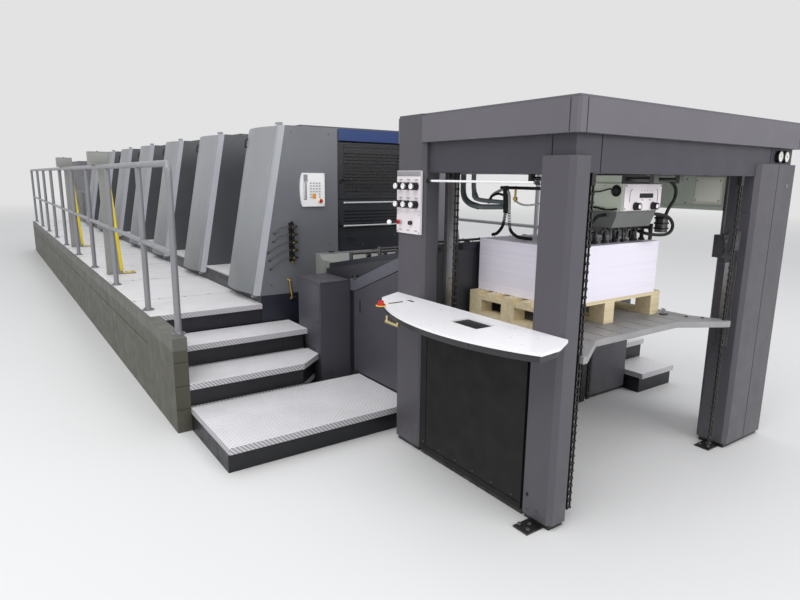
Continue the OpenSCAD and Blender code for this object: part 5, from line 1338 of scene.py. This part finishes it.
class PRESS_OT_unit_front_trim(Builder):
    """Control panel keys, valve fittings and pipes, guard handles and screws on the first unit."""

    bl_idname = "press.unit_front_trim"
    bl_label = "First unit trim"

    front = UNIT_Y[0]

    def build(self, context):
        self.control_panel()
        self.valves()
        self.tap()
        self.guards()
        drum = Shape()
        drum.box((-548, 2722, 988.5), (548, 2727, 991.5), "dark_panel")
        for x in (-420, 0, 420):
            drum.box((x - 22, 2772, 988), (x + 22, 2799, 996), "black_steel", round_by=2)
            drum.rod((x - 26, 2798, 996), (x + 26, 2798, 996), 5, "black_steel", 12, 1)
        drum.finish("drum_cover_hinges")

    def control_panel(self):
        y = self.front - 18
        stop_x, stop_z = -522, 1419
        panel = Shape()
        panel.box((-667, y + 2.4, 1571), (-631, y + 3.2, 1627), "grey_strip")
        panel.box((-669, y - 0.9, 1428), (-641, y + 1, 1568), "grey_strip", round_by=0.4)
        panel.box((-664, y - 1.5, 1434), (-656, y, 1562), "control_face", round_by=0.3)
        panel.box((-592, y - 0.6, 1436), (-560, y + 1, 1478), "orange_plastic", round_by=0.3)
        collar = [(-1, 21), (1.6, 21), (2, 20), (2, 14.4), (1, 14)]
        panel.turned((stop_x, y, stop_z), FORWARD, collar, "yellow_paint", 28)
        panel.rod((stop_x, y - 13, stop_z), (stop_x, y - 17, stop_z), 16, "red_plastic", 28, 2)
        panel.finish("unit_panel_parts")
        columns = ((-606, 1450, 6), (-580, 1494, 4), (-554, 1494, 4), (-528, 1450, 6))
        for n, (x, low, count) in enumerate(columns):
            bars("unit_panel_keys_%d" % (n + 1), "pale_mark", (x, y - 0.9, low), (0, 0, 22), (17, 2.4, 12), count)
        corners = [(x, y - 0.8, z) for x in (-686, -488) for z in (1632, 1383)]
        screws("unit_panel_screws", "bright_steel", FORWARD, corners, 4, 3, sides=10)

    def valves(self):
        x, front = -780, self.front
        rows = [971 + 62 * k for k in range(5)]
        screws("valve_nuts", "brass", FORWARD, [(x, front - 46, z) for z in rows], 12, 12, sides=6)
        screws("valve_side_nuts", "dull_steel", (1, 0, 0), [(x + 42, front - 22, z) for z in rows], 10, 9, sides=6)
        fittings = Shape()
        for z, tip in zip(rows, ("brass", "brass", "brass", "black_plastic", "black_plastic")):
            fittings.box((x - 18, front - 36, z + 10), (x + 18, front - 10, z + 20), "black_plastic", round_by=1.5)
            fittings.rod((x, front - 50, z), (x, front - 62, z), 6, tip, 14, 1)
            fittings.rod((x, front - 36, z - 14), (x, front - 40, z - 14), 5, "dull_steel", 14, 1)
            fittings.rod((x - 15, front - 22, z), (x - 30, front - 22, z), 6, "dull_steel", 12, 1)
        fittings.rod((x, front - 24, 942), (x, front - 24, 926), 8, "brass", 6)
        fittings.rod((x, front - 24, 1248), (x, front - 24, 1262), 9, "black_plastic", 16, 2)
        fittings.finish("valve_fittings")
        pipes = Shape()
        ends = ((-966, 884, 0.32), (-974, 952, 0.32), (-984, 1016, 0.32), (-936, 1100, 0.5), (-922, 1166, 0.5))
        for from_z, (to_x, to_z, bend) in zip(rows, ends):
            turn_x = x - 44
            pipes.tube([(x - 28, front - 22, from_z), (turn_x, front - 20, from_z + 2),
                        (turn_x + (to_x - turn_x) * bend, front - 11, from_z - (from_z - to_z) * 0.18),
                        (to_x + 12, front - 7, to_z + 14), (to_x, front - 6, to_z), (to_x - 3, front + 2, to_z - 5)],
                       3.2, "dull_steel", 10, 6)
            pipes.box((to_x - 8, front - 10, to_z + 2), (to_x + 14, front + 1, to_z + 8), "black_plastic", round_by=1)
        pipes.finish("air_pipes")

    def tap(self):
        front = self.front
        tap = Shape()
        tap.tube([(-812, front + 2, 793), (-812, front - 22, 788), (-808, front - 26, 740), (-800, front - 26, 690),
                  (-794, front - 22, 640), (-794, front + 2, 634)], 8, "brass", 14, 6)
        tap.rod((-812, front + 2, 793), (-812, front - 6, 793), 14, "brass", 6)
        tap.rod((-794, front + 2, 634), (-794, front - 8, 634), 15, "dull_steel", 6)
        tap.rod((-794, front - 26, 660), (-760, front - 26, 640), 5, "bright_steel", 12, 1.5)
        tap.rod((-727, front, 460), (-727, front - 14, 460), 12, "black_plastic", 24, 2)
        tap.finish("drain_tap")

    def guards(self):
        y = self.front + 26
        hinged = Shape()
        hinged.grip((-287, y + 1, 1587), (-220, y + 1, 1587), (0, -25, 0), 11, 5.5, "black_plastic")
        for x in (-330, 296):
            hinged.box((x, y - 6, 1560), (x + 34, y + 1, 1612), "black_plastic", round_by=2)
        hinged.box((-282, y - 3, GUARD_STRIP_Z - 52), (282, y + 0.6, GUARD_STRIP_Z - 40), "black_plastic", round_by=1)
        hinged.finish("guard_handle", "guard")
        held = [(side * 306, y - 0.6, z) for side in SIDES for z in (1446, 1520, 1660, 1740, 1820)]
        screws("guard_screws", "dull_steel", FORWARD, held, 4.5, 3, sides=8, body="guard")
        bars("guard_bright_edges", "dull_steel", (0, y + 5, 1489.5), (0, 0, 28), (556, 1.6, 1.6), 13, "guard")
        bars("guard_mesh_uprights", "chain_steel", (-276, y - 1.6, 1676), (24, 0, 0), (2.4, 2.4, 420), 24, "guard")
        bars("guard_mesh_rows", "chain_steel", (0, y - 1.6, 1474), (0, 0, 24), (556, 2.4, 2.4), 18, "guard")

        y = self.front + 20
        lower = Shape()
        lower.grip((-243, y + 1, 1106), (-173, y + 1, 1106), (0, -21, 0), 9, 6, "black_plastic")
        lower.box((-328, y - 8, 1196), (-300, y + 1, 1250), "black_plastic", round_by=2)
        lower.ball((-314, y - 12, 1214), 8, "black_plastic")
        for x, z in ((-96, 1036), (240, 1106)):
            lower.rod((x, y, z), (x, y - 5, z), 8, "dull_steel", 20, 1)
        lower.finish("field_handle")
        strip = [(x, self.front + 13.4, 1952) for x in (-322, 322)]
        screws("head_strip_screws", "dull_steel", FORWARD, strip, 5, 3, sides=8)


class PRESS_OT_unit_trim(Builder):
    """Handles and seam lines of the covers, roof hatch grips, bridge plates and guard fittings of all units."""

    bl_idname = "press.unit_trim"
    bl_label = "Unit trim"

    def build(self, context):
        for n, unit_y in enumerate(UNIT_Y):
            self.cover_handle(n + 1, unit_y + 640)
        self.roofs()
        self.fronts()
        self.backs()
        self.bridges()
        latches = Shape()
        for y in UNIT_Y:
            for z in (1140, 1560):
                edge = cover_edge(z) + 0.6
                latches.box((edge - 4, y + 84, z), (edge + 0.6, y + 110, z + 60), "black_steel", round_by=1)
            edge = cover_edge(700)
            latches.box((edge - 8, y + 300, 700), (edge + 3, y + 420, 726), "black_plastic", round_by=2)
        latches.finish("drive_cover_latches")
        screws("hinge_nuts", "dull_steel", DOWN, [(-1070, y + 94.5, 657.5) for y in UNIT_Y], 9, 1.2, sides=6)

    def cover_handle(self, number, y):
        z0, z1 = 1850, 1922
        low, high = -cover_edge(z0), -cover_edge(z1)
        inset = (high - low) * 0.3
        handle = Shape()
        handle.tube([(low + 2, y, z0), (low - 20, y, z0 + 4), (low - 24 + inset, y, z0 + 22),
                     (high - 24 - inset, y, z1 - 22), (high - 20, y, z1 - 4), (high + 2, y, z1)],
                    6.5, "black_plastic", 12, 5)
        for x, z in ((low, z0), (high, z1)):
            handle.rod((x + 3, y, z), (x - 4, y, z), 11, "black_plastic", 18, 1.5)
        handle.finish("cover_handle_%d" % number, "cover_%d" % number)

    def roofs(self):
        z = 2028
        roof = Shape()
        for y in UNIT_Y:
            for x in (-380, 380):
                roof.box((x - 62, y + 330, z - 1), (x + 62, y + 372, z + 2), "black_plastic", round_by=1)
            for x in (-520, 520):
                roof.box((x - 40, y + 196, z - 24), (x + 40, y + 201, z - 6), "dull_steel", round_by=1)
            roof.box((-579, y + 376, z - 1), (579, y + 380, z + 0.4), "black_steel")
        roof.finish("hatch_grips")
        held = [(x, y + dy, z + 0.4) for y in UNIT_Y for x in (-560, 560) for dy in (222, 470, 540)]
        screws("hatch_screws", "dull_steel", UP, held, 6, 1.4, sides=10)

    def fronts(self):
        fronts = Shape()
        for n, y in enumerate(UNIT_Y):
            for side in SIDES:
                x = side * 346
                fronts.box((x - 5, y - 1.2, 1000), (x + 5, y + 1, 1992), "black_steel", round_by=0.5)
                if n:
                    x = side * 300
                    fronts.box((x - 10, y + 24, 1460), (x + 10, y + 35, 1560), "black_plastic", round_by=3)
            if n:
                fronts.grip((-60, y + 34, 1760), (60, y + 34, 1760), (0, -22, 0), 10, 6, "black_plastic", 10, 4)
        fronts.finish("unit_front_frames")
        places = ((430, 1950), (760, 1950), (940, 1180), (960, 760), (430, 1060))
        held = [(side * x, y - 0.8, z) for y in UNIT_Y for side in SIDES for x, z in places]
        screws("unit_front_screws", "dull_steel", FORWARD, held, 6, 3.4, sides=8)

    def backs(self):
        backs = Shape()
        for y in (unit_y + UNIT_LEN for unit_y in UNIT_Y):
            backs.box((-560, y - 1, 1180), (560, y + 3, 1860), "dark_panel", round_by=1.5)
            for x in (-470, 470):
                backs.grip((x, y + 2, 1500), (x, y + 2, 1620), (0, 24, 0), 20, 6, "black_plastic", 10, 4, ease=2)
            for z in (1250, 1440, 1630):
                backs.box((-540, y + 2.4, z), (540, y + 4, z + 4), "black_steel")
        backs.finish("unit_back_doors")

    def bridges(self):
        bridges = Shape()
        for unit_y in UNIT_Y:
            y0, y1 = unit_y + UNIT_LEN, unit_y + UNIT_PITCH
            for side in SIDES:
                x = side * 690
                bridges.box((x - 28, y0 + 40, 1099), (x + 28, y1 - 40, 1103), "dull_steel", round_by=1)
                x = side * 720
                for z in (830, 910, 990):
                    bridges.box((x - 1.6, y0 + 30, z), (x + 1.6, y1 - 30, z + 4), "black_steel")
                x0, x1 = sorted((x - side, x + side * 3))
                bridges.box((x0, y0 + 240, 900), (x1, y0 + 470, 1050), "dark_panel", round_by=1)
                bridges.rod((x, y0 + 270, 975), (x + side * 8, y0 + 270, 975), 9, "dull_steel", 18, 1)
            bridges.box((-600, y0 + 60, 1099), (600, y1 - 60, 1102), "guard_grey", round_by=1)
            y = y0 + 360
            for x in (-380, 380):
                bridges.grip((x - 60, y, 1101), (x + 60, y, 1101), (0, 0, 25), 10, 6, "black_plastic", 10, 4)
        bridges.finish("bridge_plates")


class PRESS_OT_gallery_trim(Builder):
    """Rail flange bolts, deck seams, kick strips, screen edges and light panels of the gallery."""

    bl_idname = "press.gallery_trim"
    bl_label = "Gallery trim"

    def build(self, context):
        operator_posts = [2190] + [3020 + 1250 * k for k in range(8)] + [13178]
        drive_posts = [1780] + [2610 + 1250 * k for k in range(9)] + [13178]
        flange = [(-0.5, 25), (4, 25), (9, 22), (9.5, 20)]
        bolts = []
        collars = Shape()
        for x, places in ((-1850, operator_posts), (1850, drive_posts)):
            for n, y in enumerate(places):
                bolts += circle((x, y, DECK_Z + 10.5), 31, 4, "Z", 0.5)
                collars.turned((x, y, DECK_Z + 8), UP, flange, "rail_steel", 28)
                for z in (515, 1038) if n else (515,):
                    collars.ring((x, y, DECK_Z + z), UP, 21.5, 1.6, "rail_steel", 28, 6)
        screws("flange_bolts", "dull_steel", UP, bolts, 6, 5, sides=6)
        collars.finish("rail_collars")
        self.deck()
        self.skirts()
        for n, y in enumerate((4930, 7710)):
            self.screen(n + 1, y)

    def deck(self):
        rows = [3400 + 1040 * k for k in range(10)]
        seams = Shape()
        for x0, x1 in ((-1888, -1056), (1056, 1888)):
            for y in rows:
                seams.box((x0, y - 1.6, DECK_Z - 0.6), (x1, y + 1.6, DECK_Z + 0.35), "black_steel")
        seams.finish("deck_seams")
        held = [(side * x, y + dy, DECK_Z + 0.5)
                for side in SIDES for y in rows for dy in (-16, 16) for x in (1080, 1280, 1480, 1680, 1870)]
        screws("deck_screws", "dull_steel", UP, held, 6, 1.4, sides=10)

    def skirts(self):
        skirt = Shape()
        for side, first, step, foot in ((-1, 2960, 960, 2140), (1, 2900, 1000, 2000)):
            for k in range(11):
                for z in (470, 580):
                    y = first + step * k
                    skirt.rod((side * 1919.4, y, z), (side * 1919.9, y, z), 7, "dull_steel", 12)
            x = side * 1918.2
            skirt.box((x - 1.5, foot, 40), (x + 1.5, 13279, 46), "black_steel")
        skirt.finish("skirt_fixings")

    def screen(self, number, y):
        """Yellow edge band and foot plate of a leaning screen, and the box on its top."""
        foot_x, top_x, top_z = -1674, -1739, 1701
        edge = Shape()
        rise = Vector((top_x - foot_x, 0, top_z - DECK_Z - 20))
        lean = rise.normalized()
        across = Vector((lean.z, 0, -lean.x))
        foot = Vector((foot_x, y - 17, DECK_Z + 24))
        low, high = foot + lean * 8, foot + lean * (rise.length - 24)
        band = [low + across * 5, low - across * 26, high - across * 26, high + across * 5]
        edge.slab(band, (0, 34, 0), "yellow_paint", 1)
        plate_z = DECK_Z + 11
        edge.box((foot_x - 2, y - 42, plate_z), (foot_x + 117, y + 42, plate_z + 4), "yellow_paint", round_by=1.5)
        for x in (foot_x + 30, foot_x + 90):
            for dy in (-26, 26):
                edge.rod((x, y + dy, plate_z + 3), (x, y + dy, plate_z + 9), 6, "dull_steel", 6)
        edge.finish("screen_edge_%d" % number)
        light = Shape()
        for side_y in (y - 60, y + 60):
            light.box((-1896, side_y - 2.2, 1716), (-1732, side_y + 2.2, 1810), "screen_paint", round_by=1)
        light.box((-1898, y - 54, 1823), (-1730, y + 54, 1826), "dark_panel", round_by=1)
        light.rod((-1816, y, 1826), (-1816, y, 1832), 10, "black_plastic", 18, 1)
        light.finish("screen_light_%d" % number)


class PRESS_OT_delivery_trim(Builder):
    """Doors, grips, vents, windows' frames and screws of the delivery and the drive side housing."""

    bl_idname = "press.delivery_trim"
    bl_label = "Delivery trim"

    def build(self, context):
        y0, y1, half = 12530, 15530, 900
        panels = Shape()
        for side in SIDES:
            x = side * half
            x_low, x_high = sorted((x, x + side * 4))
            for low, high in ((y0 + 90, y0 + 660), (y0 + 760, y0 + 1640)):
                panels.box((x_low, low, 700), (x_high, high, 1210), "dark_panel", round_by=1.5)
                panels.rod((x + side * 4, high - 50, 960), (x + side * 8, high - 50, 960), 11, "dull_steel", 20, 1)
            bow = ((0, 1000, 1340), (30, 1000, 1342), (34, 980, 1342), (34, 700, 1342), (30, 680, 1342), (0, 680, 1340))
            panels.tube([(x + side * dx, y1 - dy, z) for dx, dy, z in bow], 8, "rail_steel", 12, 5)
        panels.box((-460, y1 - 2, 1330), (460, y1 + 0.8, 1560), "black_glass", round_by=1)
        panels.finish("delivery_doors")
        for side, name in zip(SIDES, ("operator", "drive")):
            first = (side * (half + 1), y0 + 1960, 840)
            bars("delivery_louvres_" + name, "black_steel", first, (0, 0, 34), (4, 420, 12), 9)
        places = ((1200, 1300), (1200, 1840), (1900, 1300), (1900, 1840), (2700, 1300))
        held = [(side * (half + 0.8), y0 + dy, z) for side in SIDES for dy, z in places]
        ways = [OPERATOR_WAY] * len(places) + [(1, 0, 0)] * len(places)
        screws("delivery_screws", "dull_steel", ways, held, 7, 4, sides=8)

        drive = Shape()
        x = 1230
        for low, high, top in ((1340, 1900, 900), (2000, 2560, 880)):
            drive.box((x - 1, low, 640), (x + 4, high, top), "dark_panel", round_by=1.5)
            drive.rod((x + 4, low + 40, 770), (x + 8, low + 40, 770), 11, "dull_steel", 20, 1)
        drive.finish("drive_housing_doors")
        bars("drive_housing_vents", "black_steel", (x + 4.6, 1720, 700), (0, 0, 22), (2, 240, 8), 8)


class PRESS_PT_panel(bpy.types.Panel):
    """Lists the steps that dress the press, in their order."""

    bl_label = "Offset press"
    bl_idname = "PRESS_PT_panel"
    bl_space_type = "VIEW_3D"
    bl_region_type = "UI"
    bl_category = "Press"

    def draw(self, context):
        for step in STEPS:
            self.layout.operator(step.bl_idname)
        for name in GROUPS:
            box = self.layout.box()
            box.label(text=name.capitalize())
            held = settings(name)
            for key in held.__annotations__:
                box.prop(held, key)


GROUPS = {"colours": PressColours, "studio": StageSettings}
STEPS = [
    PRESS_OT_cad_finishes, PRESS_OT_gantry_trim, PRESS_OT_console_trim, PRESS_OT_head_trim, PRESS_OT_pile_trim,
    PRESS_OT_lift_trim, PRESS_OT_infeed_trim, PRESS_OT_unit_front_trim, PRESS_OT_unit_trim, PRESS_OT_gallery_trim,
    PRESS_OT_delivery_trim, PRESS_OT_stage,
]


def register():
    for kind in (*GROUPS.values(), *STEPS, PRESS_PT_panel):
        bpy.utils.register_class(kind)
    for name, kind in GROUPS.items():
        setattr(bpy.types.Scene, "press_" + name, PointerProperty(type=kind))


def unregister():
    for name in GROUPS:
        delattr(bpy.types.Scene, "press_" + name)
    for kind in reversed((*GROUPS.values(), *STEPS, PRESS_PT_panel)):
        bpy.utils.unregister_class(kind)


def main():
    register()
    for step in STEPS:
        family, name = step.bl_idname.split(".")
        getattr(getattr(bpy.ops, family), name)()


if __name__ == "__main__":
    main()
